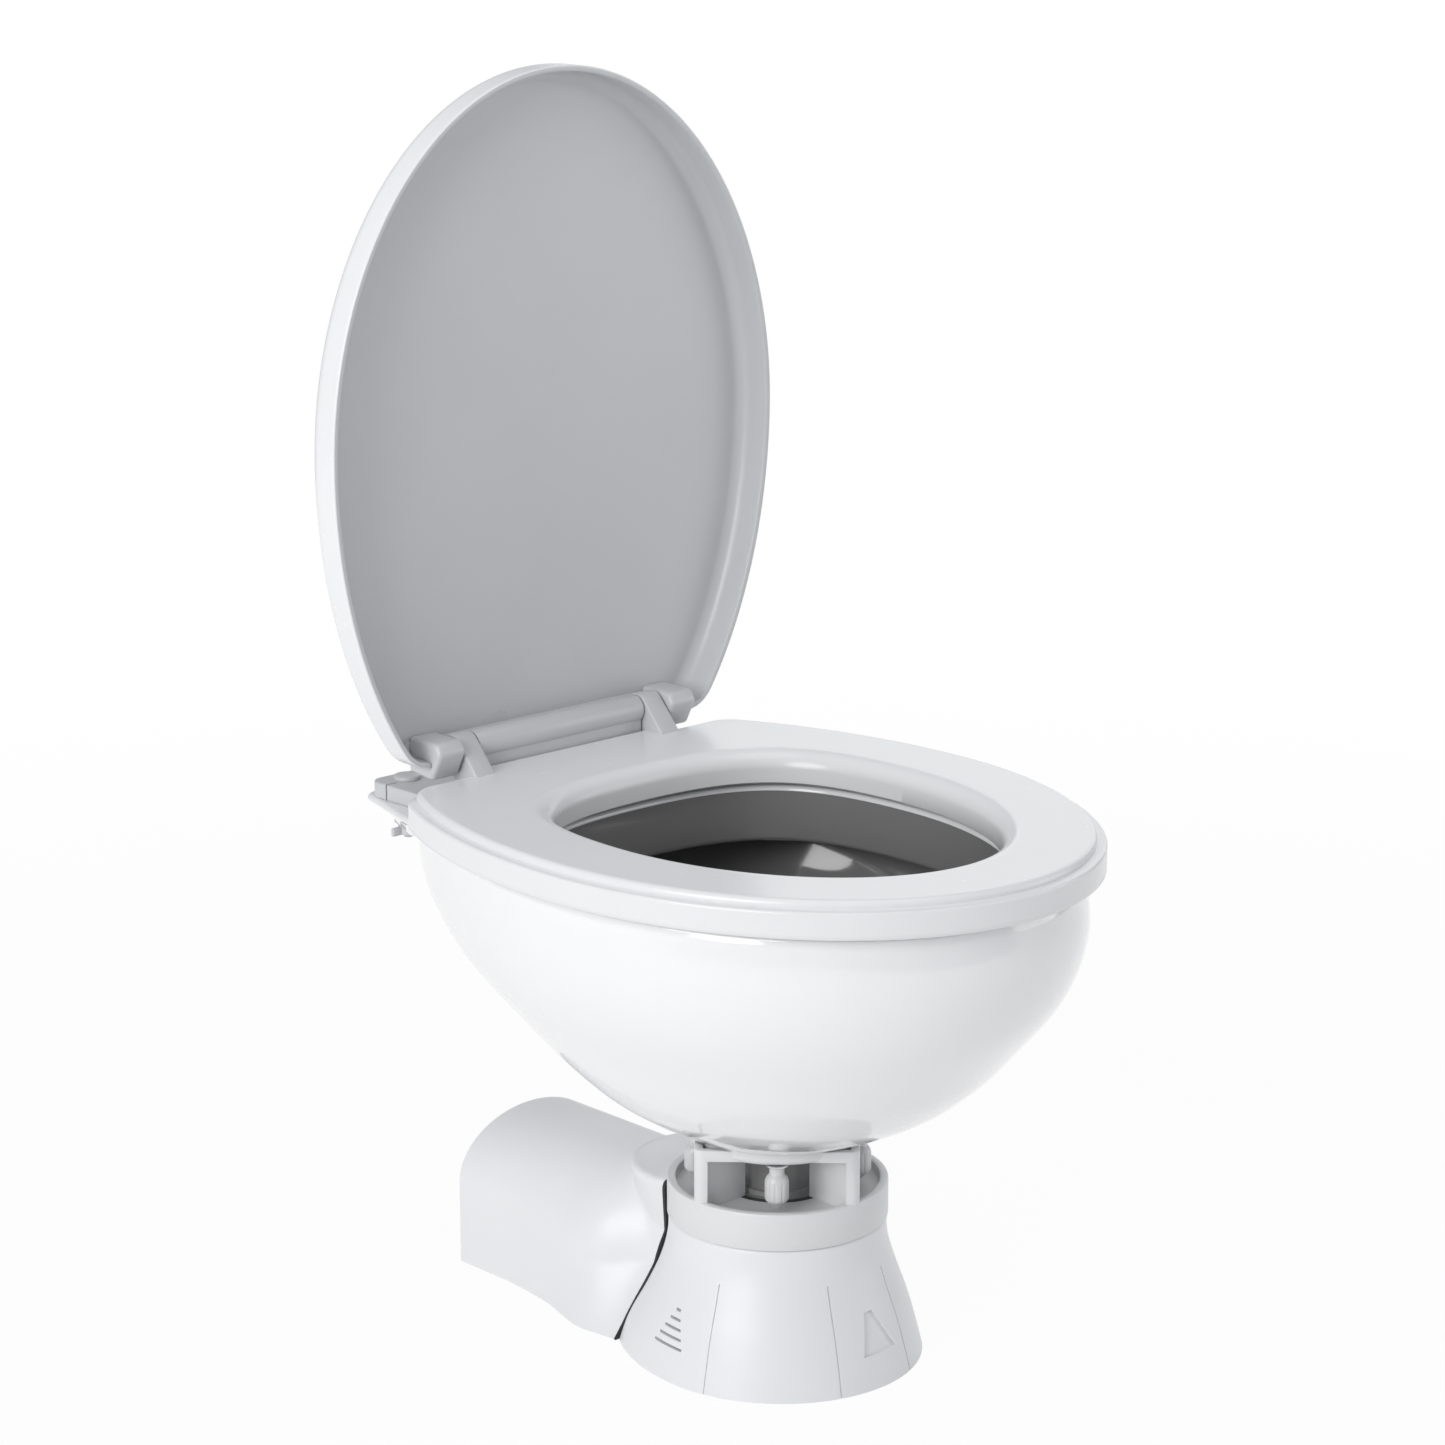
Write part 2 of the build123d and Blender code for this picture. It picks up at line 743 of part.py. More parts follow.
def hinge_base():
    plan = rounded_plan(plate_half_width, plate_front_y, plate_rear_y, plate_corner)
    body = Pos(0, 0, rim_height) * extrude(plan, plate_thickness)
    body = fillet(body.faces().sort_by(Axis.Z)[-1].edges(), plate_round)
    body += block(
        barrel_half_length, web_front_y, web_front_y + web_thickness,
        plate_top - plate_round, hinge_height,
    )
    barrel = Cylinder(barrel_radius, 2 * barrel_half_length)
    body += Pos(0, hinge_y, hinge_height) * Rot(0, 90, 0) * barrel
    bore = Cylinder(pin_radius + seat_gap, 2 * barrel_half_length + 2 * overrun)
    body -= Pos(0, hinge_y, hinge_height) * Rot(0, 90, 0) * bore
    for side in (-1, 1):
        hole = cylinder(hinge_bolt_hole, plate_thickness + 2 * overrun)
        body -= Pos(side * hinge_bolt_x, hinge_bolt_y, rim_height - overrun) * hole
    return body


def hinge_pin():
    return Pos(0, hinge_y, hinge_height) * Rot(0, 90, 0) * Cylinder(pin_radius, pin_length)


def at_hinge_bolts(piece, height):
    return Compound([
        Pos(side * hinge_bolt_x, hinge_bolt_y, height) * piece for side in (-1, 1)
    ])


def hinge_bolts():
    low = deck_underside - hinge_washer_thickness - hinge_nut_height - hinge_bolt_end
    head = cylinder(hinge_head_radius, hinge_head_height)
    head = fillet(head.edges().group_by(Axis.Z)[-1], hinge_head_height / 2)
    piece = Pos(0, 0, plate_top - low) * head + cylinder(hinge_bolt_radius, plate_top - low)
    return at_hinge_bolts(piece, low)


def hinge_washers():
    washer = ring(hinge_washer_radius, hinge_bolt_radius + running_gap, hinge_washer_thickness)
    return at_hinge_bolts(washer, deck_underside - hinge_washer_thickness)


def hinge_wing_nuts():
    nut = ring(hinge_nut_radius, hinge_bolt_radius + seat_gap, hinge_nut_height)
    for side in (-1, 1):
        wing = Pos(side * (hinge_nut_radius + wing_reach / 2 - seat_gap), 0, wing_height / 2) * Box(
            wing_reach, wing_thickness, wing_height
        )
        nut += wing - cylinder(hinge_bolt_radius + seat_gap, hinge_nut_height)
    return at_hinge_bolts(nut, deck_underside - hinge_washer_thickness - hinge_nut_height)


# Lid

def lid_plan(inset):
    plan = egg(
        seat_half - inset, seat_front_y - lid_overhang + inset,
        widest_y + seat_rear_reach - inset, widest_y,
    )
    depth = seat_width + seat_rear_reach
    keep = Pos(0, lid_rear_y - inset - depth / 2) * Rectangle(2 * seat_width, depth)
    plan &= keep
    return fillet(plan.vertices().group_by(Axis.Y)[-1], lid_corner - inset)


def lid_lug(side):
    """The rounded block inside the lid that turns on the end of the pin."""
    profile = make_face(Polyline(
        (hinge_y - lug_front, lid_top - lid_skin),
        (hinge_y - lug_front, hinge_height - lug_drop_front),
        (hinge_y - lug_toe, hinge_height - lug_drop),
        (hinge_y + lug_heel, hinge_height - lug_drop_rear),
        (hinge_y + lug_shoulder, lid_top - lid_skin),
        close=True,
    ))
    profile = fillet(profile.vertices().group_by(Axis.Y)[0], lug_round)
    lug = extrude(Plane.YZ * profile, lug_width)
    start = lug_inner if side > 0 else -lug_outer
    return Pos(start, 0, 0) * lug


def lid_closed():
    shell = Pos(0, 0, lid_rim_height) * extrude(lid_plan(0), lid_depth)
    shell = fillet(shell.faces().sort_by(Axis.Z)[-1].edges(), lid_round)
    hollow = extrude(lid_plan(lid_wall), lid_depth - lid_skin)
    hollow = fillet(hollow.faces().sort_by(Axis.Z)[-1].edges(), lid_inner_round)
    shell -= Pos(0, 0, lid_rim_height) * hollow
    shell -= Pos(0, 0, lid_rim_height - overrun) * cylinder(seat_half - lid_round, overrun)
    shell -= block(
        lug_outer + side_gap, hinge_y - lid_round, lid_rear_y + overrun,
        lid_rim_height - overrun, lid_top - lid_skin,
    )
    notch_half = barrel_half_length + lid_notch_gap
    shell -= block(
        notch_half, lid_notch_y, lid_rear_y + overrun, lid_rim_height - overrun, lid_top + overrun
    )
    for side in (-1, 1):
        shell += lid_lug(side)
    bore = cylinder(pin_radius + running_gap, 2 * (lug_outer - lug_blind_end))
    bore = Pos(-lug_outer + lug_blind_end, hinge_y, hinge_height) * Rot(0, 90, 0) * bore
    return shell - bore


def lid():
    return lid_closed().rotate(hinge_axis, -lid_open_angle)


# Support and floor plate

def bowl_support():
    """The collar and windowed tower that carry the bowl, on a pedestal on the floor plate."""
    floor_low = collar_floor_height - collar_floor_thickness
    body = Pos(0, 0, bell_height) * ring(
        collar_radius, collar_radius - collar_wall, collar_height
    )
    body += Pos(0, 0, floor_low) * cylinder(collar_radius, collar_floor_thickness)
    tower = extrude(RectangleRounded(2 * tower_half, 2 * tower_half, tower_corner), tower_height)
    inner = 2 * (tower_half - tower_wall)
    tower -= Pos(0, 0, -overrun) * extrude(Rectangle(inner, inner), tower_height + 2 * overrun)
    tower = Rot(0, 0, tower_angle) * tower
    web_reach = tower_half * math.sqrt(2) - tower_corner
    for turn in (0, 90):
        tower += Rot(0, 0, turn) * block(
            web_reach, -web_wall / 2, web_wall / 2, 0, tower_height - frame_height / 2
        )
    window_half = tower_half - post_width
    window_height = tower_height - frame_height
    window = Pos(0, -tower_half, window_height / 2) * Box(
        2 * window_half, 3 * tower_wall, window_height
    )
    for side in range(4):
        tower -= Rot(0, 0, tower_angle + 90 * side) * window
    body += Pos(0, 0, collar_floor_height) * tower
    flange = cylinder(flange_radius, frame_height)
    flange = fillet(flange.edges().group_by(Axis.Z)[0], frame_height / 2)
    body += Pos(0, 0, frame_underside) * flange
    low = plate_floor_thickness
    pedestal = ring(pedestal_radius, pedestal_radius - pedestal_wall, floor_low - low)
    for place in front_screw_places():
        pedestal += place * cylinder(support_boss_radius, floor_low - low)
    pedestal -= block(
        2 * pedestal_radius, pedestal_gate_y, 2 * pedestal_radius, -overrun, floor_low - low
    )
    body += Pos(0, 0, low) * pedestal
    for place in front_screw_places():
        body -= place * Pos(0, 0, low - overrun) * cylinder(screw_radius, screw_depth)
    body -= Pos(0, 0, floor_low - overrun) * cylinder(socket_radius + seat_gap, 2 * collar_well)
    body -= Pos(0, 0, collar_floor_height - overrun) * cylinder(
        spigot_radius + 2 * web_wall, tower_height - frame_height + overrun
    )
    body -= Pos(0, 0, frame_underside - overrun) * cylinder(frame_bore, frame_height + 2 * overrun)
    for place in stud_places():
        hole = cylinder(stud_radius + running_gap, frame_height + 2 * overrun)
        body -= place * Pos(0, 0, frame_underside - overrun) * hole
    return body


def front_screw_places():
    return [
        Rot(0, 0, -90 + side * support_screw_angle) * Pos(support_screw_circle, 0, 0)
        for side in (-1, 1)
    ]


def floor_plate():
    plan = bell_section(0, floor_plate_inset) & Rectangle(4 * bell_foot_half, 2 * seam_foot_y)
    plan += rounded_plan(tail_half_width, 0, tail_end_y, plate_corner)
    body = extrude(plan, plate_floor_thickness)
    lip_height = plate_floor_thickness + tail_lip_height
    lip = block(
        tail_half_width - plate_corner, tail_end_y - tail_lip_thickness, tail_end_y,
        plate_floor_thickness, lip_height,
    )
    lip -= toward_rear(discharge_x, 0, discharge_height) * cylinder(
        discharge_flange + free_gap, tail_end_y + overrun
    )
    body += lip
    half = floor_bolt_spacing / 2
    for x in (-half, half):
        for y in (-half, half):
            body -= Pos(x, y, -overrun) * cylinder(floor_bolt_hole, tall)
    for place in front_screw_places():
        body -= place * Pos(0, 0, -overrun) * cylinder(screw_radius + running_gap, tall)
        body -= place * Pos(0, 0, -overrun) * cylinder(
            screw_head_radius + running_gap, screw_head_height + overrun
        )
    for x in cover_screw_xs:
        body -= toward_rear(x, tail_end_y - tail_lip_thickness - overrun, cover_screw_height) * (
            cylinder(screw_radius, tail_lip_thickness + 2 * overrun)
        )
    return body


def screw(length):
    """A screw that stands on its head."""
    head = cylinder(screw_head_radius, screw_head_height)
    head = fillet(head.edges().group_by(Axis.Z)[0], screw_head_height / 3)
    return head + cylinder(screw_radius - seat_gap, screw_head_height + length)


def support_screws():
    length = plate_floor_thickness - screw_head_height + screw_depth - 2 * overrun
    return Compound([place * screw(length) for place in front_screw_places()])


def cover_screws():
    length = shell_wall + tail_lip_thickness
    piece = Rot(90, 0, 0) * screw(length)
    tip_y = cover_end_y + screw_head_height
    return Compound([Pos(x, tip_y, cover_screw_height) * piece for x in cover_screw_xs])


# Pump, from its socket to its back plate

def on_pump_axis(y):
    """A place on the pump's axis at depth y, whose own Z axis points to the rear."""
    return toward_rear(pump_x, y, pump_axis_height)


def pump_housing():
    socket_low = collar_floor_height - socket_depth
    neck_top = collar_floor_height - collar_floor_thickness
    body = Pos(0, 0, neck_foot_height) * cylinder(neck_radius, neck_top - neck_foot_height)
    body += Pos(0, 0, socket_low - pump_front_wall) * cylinder(
        socket_radius, socket_depth + pump_front_wall
    )
    body += on_pump_axis(pump_front_y) * cylinder(pump_radius, pump_depth)
    body += toward_rear(pump_x / 2, 0, pump_axis_height) * cylinder(
        port_radius, pump_front_y + pump_front_wall
    )
    foot_depth = pump_depth - 2 * pump_front_wall
    foot = Box(2 * pump_foot_half, foot_depth, pump_axis_height - plate_floor_thickness)
    foot_z = (pump_axis_height + plate_floor_thickness) / 2
    body += Pos(pump_x, pump_front_y + pump_depth / 2, foot_z) * foot
    body += toward_rear(discharge_x, stub_front_y, discharge_height) * cylinder(
        stub_radius, stub_rear_y - stub_front_y
    )
    link_y = (stub_front_y + pump_back_y) / 2
    link = Rot(0, 90, 0) * cylinder(link_radius, discharge_x - pump_x)
    body += Pos(pump_x, link_y, discharge_height) * link
    body -= Pos(0, 0, socket_low) * cylinder(socket_bore, 2 * socket_depth)
    body -= Pos(0, 0, neck_foot_height + pump_front_wall) * cylinder(neck_bore, tall)
    body -= toward_rear(pump_x / 2, 0, pump_axis_height) * cylinder(
        port_bore, pump_front_y + 2 * pump_front_wall
    )
    body -= on_pump_axis(pump_front_y + pump_front_wall) * cylinder(pump_bore, pump_depth)
    body -= toward_rear(discharge_x, stub_front_y + pump_front_wall, discharge_height) * cylinder(
        stub_bore, stub_rear_y
    )
    passage = Rot(0, 90, 0) * cylinder(link_bore, discharge_x - pump_x)
    body -= Pos(pump_x, link_y, discharge_height) * passage
    for place in pump_screw_places():
        body -= place * Pos(0, 0, -screw_depth) * cylinder(screw_radius, screw_depth + overrun)
    return body


def pump_screw_places():
    """Places on the pump's rear face, whose own Z axes point to the rear."""
    ring_places = around(pump_screw_circle, pump_screw_count, pump_screw_angle)
    return [on_pump_axis(pump_back_y) * place for place in ring_places]


def pump_back_plate():
    body = cylinder(pump_radius, pump_back_thickness)
    body -= Pos(0, 0, -overrun) * cylinder(shaft_seal_radius, tall)
    body = on_pump_axis(pump_back_y) * body
    body -= toward_rear(discharge_x, 0, discharge_height) * cylinder(stub_radius + seat_gap, tall)
    for place in pump_screw_places():
        body -= place * Pos(0, 0, -overrun) * cylinder(screw_radius + running_gap, tall)
        body -= place * Pos(0, 0, pump_back_thickness - screw_head_height) * cylinder(
            screw_head_radius + running_gap, screw_head_height + overrun
        )
    return body


def pump_screws():
    length = screw_depth - overrun + pump_back_thickness - screw_head_height
    piece = Rot(180, 0, 0) * screw(length)
    return Compound([
        place * Pos(0, 0, pump_back_thickness) * piece for place in pump_screw_places()
    ])


def shaft_seal():
    seal = ring(shaft_seal_radius - seat_gap, shaft_radius + running_gap, pump_back_thickness)
    return on_pump_axis(pump_back_y) * seal


def cutter_plate():
    body = ring(pump_bore - seat_gap, cutter_bore, cutter_thickness)
    for place in around(cutter_bore, cutter_notch_count, 0):
        body -= place * Pos(0, 0, -overrun) * cylinder(cutter_notch / 2, 2 * cutter_thickness)
    return on_pump_axis(cutter_y) * body


def chopper_blade():
    """A two-ended blade with ground edges that sweeps the cutter plate."""
    bar = Box(chopper_length, chopper_width, chopper_thickness)
    upright = (Align.CENTER, Align.CENTER, Align.CENTER)
    for side in (-1, 1):
        edge = Box(chopper_length, chopper_width, chopper_thickness, align=upright)
        reach = side * (chopper_width / 2 + chopper_thickness / 4)
        bar -= Pos(0, reach, chopper_thickness) * Rot(-side * chopper_grind, 0, 0) * edge
    body = Pos(0, 0, chopper_thickness / 2) * bar + cylinder(chopper_hub, chopper_thickness)
    body -= Pos(0, 0, -overrun) * cylinder(shaft_radius + seat_gap, tall)
    return on_pump_axis(chopper_y) * body


def impeller():
    body = cylinder(impeller_radius, impeller_disc)
    body = Pos(0, 0, impeller_depth - impeller_disc) * body + cylinder(impeller_hub, impeller_depth)
    span = impeller_radius - impeller_hub / 2
    for place in around(0, impeller_blade_count, 0):
        arc = Pos(0, span / 2) * CenterArc((0, 0), span / 2, -90, impeller_sweep)
        blade = extrude(trace(Pos(0, impeller_hub / 2) * arc, impeller_blade), impeller_depth)
        body += place * blade
    body &= cylinder(impeller_radius, impeller_depth)
    body -= Pos(0, 0, -overrun) * cylinder(shaft_radius + seat_gap, tall)
    return on_pump_axis(impeller_y) * body


def drive_shaft():
    length = motor_rear_y + bearing_width - shaft_tip_y
    shaft = chamfer(cylinder(shaft_radius, length).edges().group_by(Axis.Z)[0], shaft_radius / 4)
    return on_pump_axis(shaft_tip_y) * shaft


# Motor

def motor_can():
    body = cylinder(motor_radius, motor_length)
    body -= Pos(0, 0, motor_front_wall) * cylinder(motor_radius - motor_wall, motor_length)
    body -= Pos(0, 0, -overrun) * cylinder(bearing_radius, motor_front_wall + 2 * overrun)
    return on_pump_axis(motor_front_y) * body


def motor_end_cap():
    body = cylinder(motor_radius, end_cap_thickness)
    body = fillet(body.edges().group_by(Axis.Z)[-1], end_cap_thickness / 3)
    body -= Pos(0, 0, -overrun) * cylinder(bearing_radius, bearing_width + overrun)
    return on_pump_axis(motor_rear_y) * body


def bearing(y):
    """A ball bearing, drawn as its two rings and the balls between them."""
    outer_race, inner_race = [bearing_radius * share for share in bearing_gap_shares]
    outer_ring = ring(bearing_radius - seat_gap, outer_race, bearing_width)
    inner_ring = ring(inner_race, shaft_radius + running_gap, bearing_width)
    web = ring(outer_race, inner_race, bearing_width / 2)
    body = outer_ring + inner_ring + Pos(0, 0, bearing_width / 4) * web
    return on_pump_axis(y) * body


def front_bearing():
    return bearing(motor_front_y + (motor_front_wall - bearing_width) / 2)


def rear_bearing():
    return bearing(motor_rear_y)


def motor_magnets():
    outer = motor_radius - motor_wall - seat_gap
    start = armature_start + (armature_length - magnet_length) / 2
    shell = ring(outer, outer - magnet_thickness, magnet_length)
    gap_half = outer * math.cos(math.radians(magnet_angle / 2))
    for turn in (0, 180):
        shell -= Rot(0, 0, turn) * Box(3 * outer, 2 * gap_half, 3 * magnet_length)
    return on_pump_axis(motor_front_y + start) * shell


def armature():
    """The slotted iron core and the commutator, pressed on the shaft."""
    body = cylinder(armature_radius, armature_length)
    for place in around(armature_radius, armature_slot_count, 0):
        body -= place * Box(2 * armature_slot_depth, armature_slot, 3 * armature_length)
    body += Pos(0, 0, armature_length - overrun) * cylinder(
        commutator_radius, commutator_length + overrun
    )
    body -= Pos(0, 0, -overrun) * cylinder(shaft_radius + seat_gap, 2 * motor_length)
    return on_pump_axis(motor_front_y + armature_start) * body


def motor_cradle():
    """Two saddles on one strip, which hold the motor off the floor plate."""
    strip = block(
        cradle_half, motor_front_y + cradle_start,
        motor_front_y + cradle_start + cradle_pitch + cradle_wall,
        plate_floor_thickness, plate_floor_thickness + cradle_wall / 2,
    )
    body = strip
    for start in (cradle_start, cradle_start + cradle_pitch):
        body += block(
            cradle_half, motor_front_y + start, motor_front_y + start + cradle_wall,
            plate_floor_thickness, plate_floor_thickness + cradle_rise,
        )
    body = Pos(pump_x, 0, 0) * body
    return body - on_pump_axis(motor_front_y) * cylinder(motor_radius + seat_gap, motor_length)


# Discharge, flush inlet and cable gland

def joker_valve():
    """The rubber one-way valve, which narrows to a slit in the discharge pipe."""
    body = cylinder(pipe_radius, valve_flange_thickness)
    sleeve = loft([
        Circle(valve_radius),
        Pos(0, 0, valve_length) * Ellipse(valve_radius, valve_slit),
    ])
    hollow = loft([
        Circle(valve_radius - valve_wall),
        Pos(0, 0, valve_length) * Ellipse(valve_radius - valve_wall, valve_slit / 3),
    ])
    body = body + sleeve - hollow
    return toward_rear(discharge_x, stub_rear_y, discharge_height) * body


def discharge_pipe():
    start = stub_rear_y + valve_flange_thickness
    length = spigot_front_y - start
    pipe = ring(pipe_radius, discharge_bore, length)
    return toward_rear(discharge_x, start, discharge_height) * pipe


def discharge_spigot():
    inside = discharge_inside + shell_wall
    body = cylinder(discharge_boss_radius, inside)
    body += Pos(0, 0, discharge_inside - discharge_flange_thickness) * cylinder(
        discharge_flange, discharge_flange_thickness
    )
    body += Pos(0, 0, inside) * barbs(discharge_radius, discharge_tail, barb_count)
    body -= Pos(0, 0, -overrun) * cylinder(discharge_bore, inside + discharge_tail + 2 * overrun)
    return toward_rear(discharge_x, spigot_front_y, discharge_height) * body


def inlet_grommet():
    body = ring(inlet_hole_radius - seat_gap, inlet_plug_radius + seat_gap, inlet_engagement)
    body += Pos(0, 0, -inlet_flange_thickness) * ring(
        inlet_flange_radius, inlet_plug_radius + seat_gap, inlet_flange_thickness
    )
    return Pos(0, inlet_y, inlet_underside_height) * body


def flush_inlet():
    """The hose tail for flush water, plugged into the grommet under the bowl's rear."""
    length = inlet_tail + inlet_flange_thickness
    body = Rot(180, 0, 0) * barbs(inlet_radius, length, inlet_barb_count)
    body += Pos(0, 0, -2 * inlet_flange_thickness) * cylinder(
        inlet_flange_radius - inlet_flange_thickness, inlet_flange_thickness
    )
    body += Pos(0, 0, -inlet_flange_thickness) * cylinder(
        inlet_plug_radius, inlet_engagement + inlet_flange_thickness
    )
    body -= Pos(0, 0, -length - overrun) * cylinder(
        inlet_bore, length + inlet_engagement + 2 * overrun
    )
    return Pos(0, inlet_y, inlet_underside_height) * body


def cable_gland():
    body = ring(gland_radius, gland_bore, gland_length)
    body += Pos(0, 0, gland_length / 2 + shell_wall / 2) * ring(
        gland_flange, gland_bore, gland_flange_thickness
    )
    nut = extrude(RegularPolygon(gland_flange, 6), gland_flange_thickness)
    nut -= Pos(0, 0, -overrun) * cylinder(gland_bore, tall)
    body += Pos(0, 0, gland_length / 2 - shell_wall / 2 - gland_flange_thickness) * nut
    middle_y = cover_end_y - shell_wall / 2
    return toward_rear(gland_x, middle_y - gland_length / 2, gland_height) * body


# Bell shroud, cover seal and motor cover

def bell_section(share_row, inset):
    half, front, rear = [
        bell_top_radius + (foot - bell_top_radius) * flare_share - inset
        for foot, flare_share in zip(bell_foot_reaches, bell_shares[share_row][1:])
    ]
    return egg(half, -front, rear, 0)


def bell_form(inset):
    """The whole bell, before the seam divides it, drawn in by inset."""
    sections = []
    for number, row in enumerate(bell_shares):
        sections.append(Pos(0, 0, bell_height * row[0]) * bell_section(number, inset))
    return loft(sections)


def cover_section(row, inset):
    place, floor_share, wall_share, wall_height_share, top_share = row
    floor_half = cover_half_width * floor_share - inset
    wall_half = cover_half_width * wall_share - inset
    wall_height = cover_top * wall_height_share
    rise = cover_top * top_share - inset - wall_height
    arch = Pos(0, wall_height) * EllipticalCenterArc(
        (0, 0), wall_half, rise, start_angle=0, arc_size=180
    )
    walls = Polyline(
        (-wall_half, wall_height), (-floor_half, 0), (floor_half, 0), (wall_half, wall_height)
    )
    profile = make_face([arch, walls])
    return Pos(0, cover_end_y * place, 0) * Rot(90, 0, 0) * profile


def cover_form(inset):
    """The motor cover's outer form, before the seam cuts it, drawn in by inset."""
    form = loft([cover_section(row, inset) for row in cover_shares])
    form += bell_form(inset)
    shoulder = Cone(
        cover_shoulder_foot_radius - inset, cover_shoulder_radius - inset,
        cover_shoulder_height - inset,
        align=(Align.CENTER, Align.CENTER, Align.MIN),
    )
    shoulder = fillet(shoulder.edges().group_by(Axis.Z)[-1], cover_shoulder_round)
    return form + Pos(0, cover_shoulder_y, cover_shoulder_foot) * shoulder


def behind_seam(offset):
    """Everything behind the slanting seam, moved back by offset."""
    slope = math.degrees(math.atan2(seam_foot_y - seam_top_y, seam_top_height))
    half = Box(2 * seat_width, seat_width, 2 * seat_width, align=(Align.CENTER, Align.MIN, Align.CENTER))
    return Pos(0, seam_foot_y + offset, 0) * Rot(slope, 0, 0) * half


def louvres():
    """Slots that shorten upwards, for the bell's left side."""
    slots = []
    for number in range(louvre_count):
        length = louvre_longest - louvre_step * number
        slot = Box(bell_foot_half, length, louvre_slot, align=(Align.MAX, Align.MIN, Align.MIN))
        start_y = louvre_lean * number - louvre_front
        height = louvre_low + louvre_pitch * number
        slots.append(Pos(-bell_foot_half / 2, start_y, height) * slot)
    return Compound(slots)


def bell_shroud():
    body = bell_form(0) - Pos(0, 0, -overrun) * bell_form(shell_wall)
    body -= Pos(0, 0, -shell_wall) * bell_form(shell_wall)
    body -= Pos(0, 0, bell_height - 2 * shell_wall) * cylinder(
        pedestal_radius + free_gap, 3 * shell_wall
    )
    body -= behind_seam(0)
    body -= Pos(0, 0, bell_height - shadow_gap) * cylinder(bell_foot_half, collar_wall)
    for angle in panel_line_angles:
        groove = Pos(0, -bell_foot_front, panel_line_height / 2) * Box(
            panel_line_width, bell_foot_front, panel_line_height
        )
        keep = bell_form(panel_line_depth)
        body -= Rot(0, 0, angle) * groove - keep
    slots = louvres()
    body = body - slots - mirror(slots, Plane.YZ)
    niche = make_face(Polyline(
        (-niche_left, niche_low), (niche_right, niche_low),
        (niche_top_right, niche_low + niche_height),
        (-niche_top_left, niche_low + niche_height), close=True,
    ))
    tool = extrude(Plane.XZ * niche, bell_foot_front)
    body -= tool - bell_form(niche_depth)
    return body


def cover_seal():
    form = cover_form(-seal_proud) - cover_form(shell_wall)
    form &= behind_seam(seam_gap)
    form -= behind_seam(seam_gap + seal_thickness)
    form -= cylinder(collar_radius + free_gap, tall)
    return form & block(seat_width, 0, tall, 0, tall)


def motor_cover():
    body = cover_form(0)
    inner = cover_form(shell_wall) & block(seat_width, 0, cover_end_y - shell_wall, 0, tall)
    body = body - inner
    body &= behind_seam(2 * seam_gap + seal_thickness)
    body -= cylinder(collar_radius + free_gap, tall)
    hole = cylinder(discharge_boss_radius + running_gap, tall)
    body -= toward_rear(discharge_x, cover_end_y - 2 * shell_wall, discharge_height) * hole
    hole = cylinder(gland_radius + running_gap, tall)
    body -= toward_rear(gland_x, cover_end_y - 2 * shell_wall, gland_height) * hole
    for x in cover_screw_xs:
        hole = cylinder(screw_radius + running_gap, tall)
        body -= toward_rear(x, cover_end_y - 2 * shell_wall, cover_screw_height) * hole
    return body


makers = {
    "bowl": bowl,
    "bowl_studs": bowl_studs,
    "bowl_nuts": bowl_nuts,
    "bowl_washers": bowl_washers,
    "outlet_seal": outlet_seal,
    "seat": seat,
    "seat_buffers": seat_buffers,
    "hinge_base": hinge_base,
    "hinge_pin": hinge_pin,
    "hinge_bolts": hinge_bolts,
    "hinge_washers": hinge_washers,
    "hinge_wing_nuts": hinge_wing_nuts,
    "lid": lid,
    "bowl_support": bowl_support,
    "floor_plate": floor_plate,
    "support_screws": support_screws,
    "bell_shroud": bell_shroud,
    "cover_seal": cover_seal,
    "motor_cover": motor_cover,
    "cover_screws": cover_screws,
    "pump_housing": pump_housing,
    "pump_back_plate": pump_back_plate,
    "pump_screws": pump_screws,
    "shaft_seal": shaft_seal,
    "cutter_plate": cutter_plate,
    "chopper_blade": chopper_blade,
    "impeller": impeller,
    "drive_shaft": drive_shaft,
    "motor_can": motor_can,
    "motor_end_cap": motor_end_cap,
    "front_bearing": front_bearing,
    "rear_bearing": rear_bearing,
    "motor_magnets": motor_magnets,
    "armature": armature,
    "motor_cradle": motor_cradle,
    "joker_valve": joker_valve,
    "discharge_pipe": discharge_pipe,
    "discharge_spigot": discharge_spigot,
    "inlet_grommet": inlet_grommet,
    "flush_inlet": flush_inlet,
    "cable_gland": cable_gland,
}

for name, make in makers.items():
    export_step(make(), f"parts/{name}.step")
    print(name)
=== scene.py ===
import math
import bmesh
import bpy
import numpy as np
from mathutils import Matrix, Vector
from mathutils.geometry import convex_hull_2d


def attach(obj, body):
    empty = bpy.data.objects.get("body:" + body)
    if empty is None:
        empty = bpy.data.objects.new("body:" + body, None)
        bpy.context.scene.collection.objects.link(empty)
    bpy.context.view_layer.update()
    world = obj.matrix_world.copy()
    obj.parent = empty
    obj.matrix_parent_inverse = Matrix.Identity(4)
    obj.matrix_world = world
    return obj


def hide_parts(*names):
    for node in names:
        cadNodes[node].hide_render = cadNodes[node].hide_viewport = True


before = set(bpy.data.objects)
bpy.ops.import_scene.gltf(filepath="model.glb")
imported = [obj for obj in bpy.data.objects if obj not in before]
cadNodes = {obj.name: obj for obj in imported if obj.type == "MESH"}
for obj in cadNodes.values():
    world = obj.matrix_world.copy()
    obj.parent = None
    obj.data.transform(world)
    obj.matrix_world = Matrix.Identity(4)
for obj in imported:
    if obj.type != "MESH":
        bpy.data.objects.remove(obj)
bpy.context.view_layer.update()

mm = 0.001
scene = bpy.context.scene
print("frame loaded:", len(cadNodes), "nodes")


# Outlines run anticlockwise seen from above. All sizes are millimetres until a mesh is made.

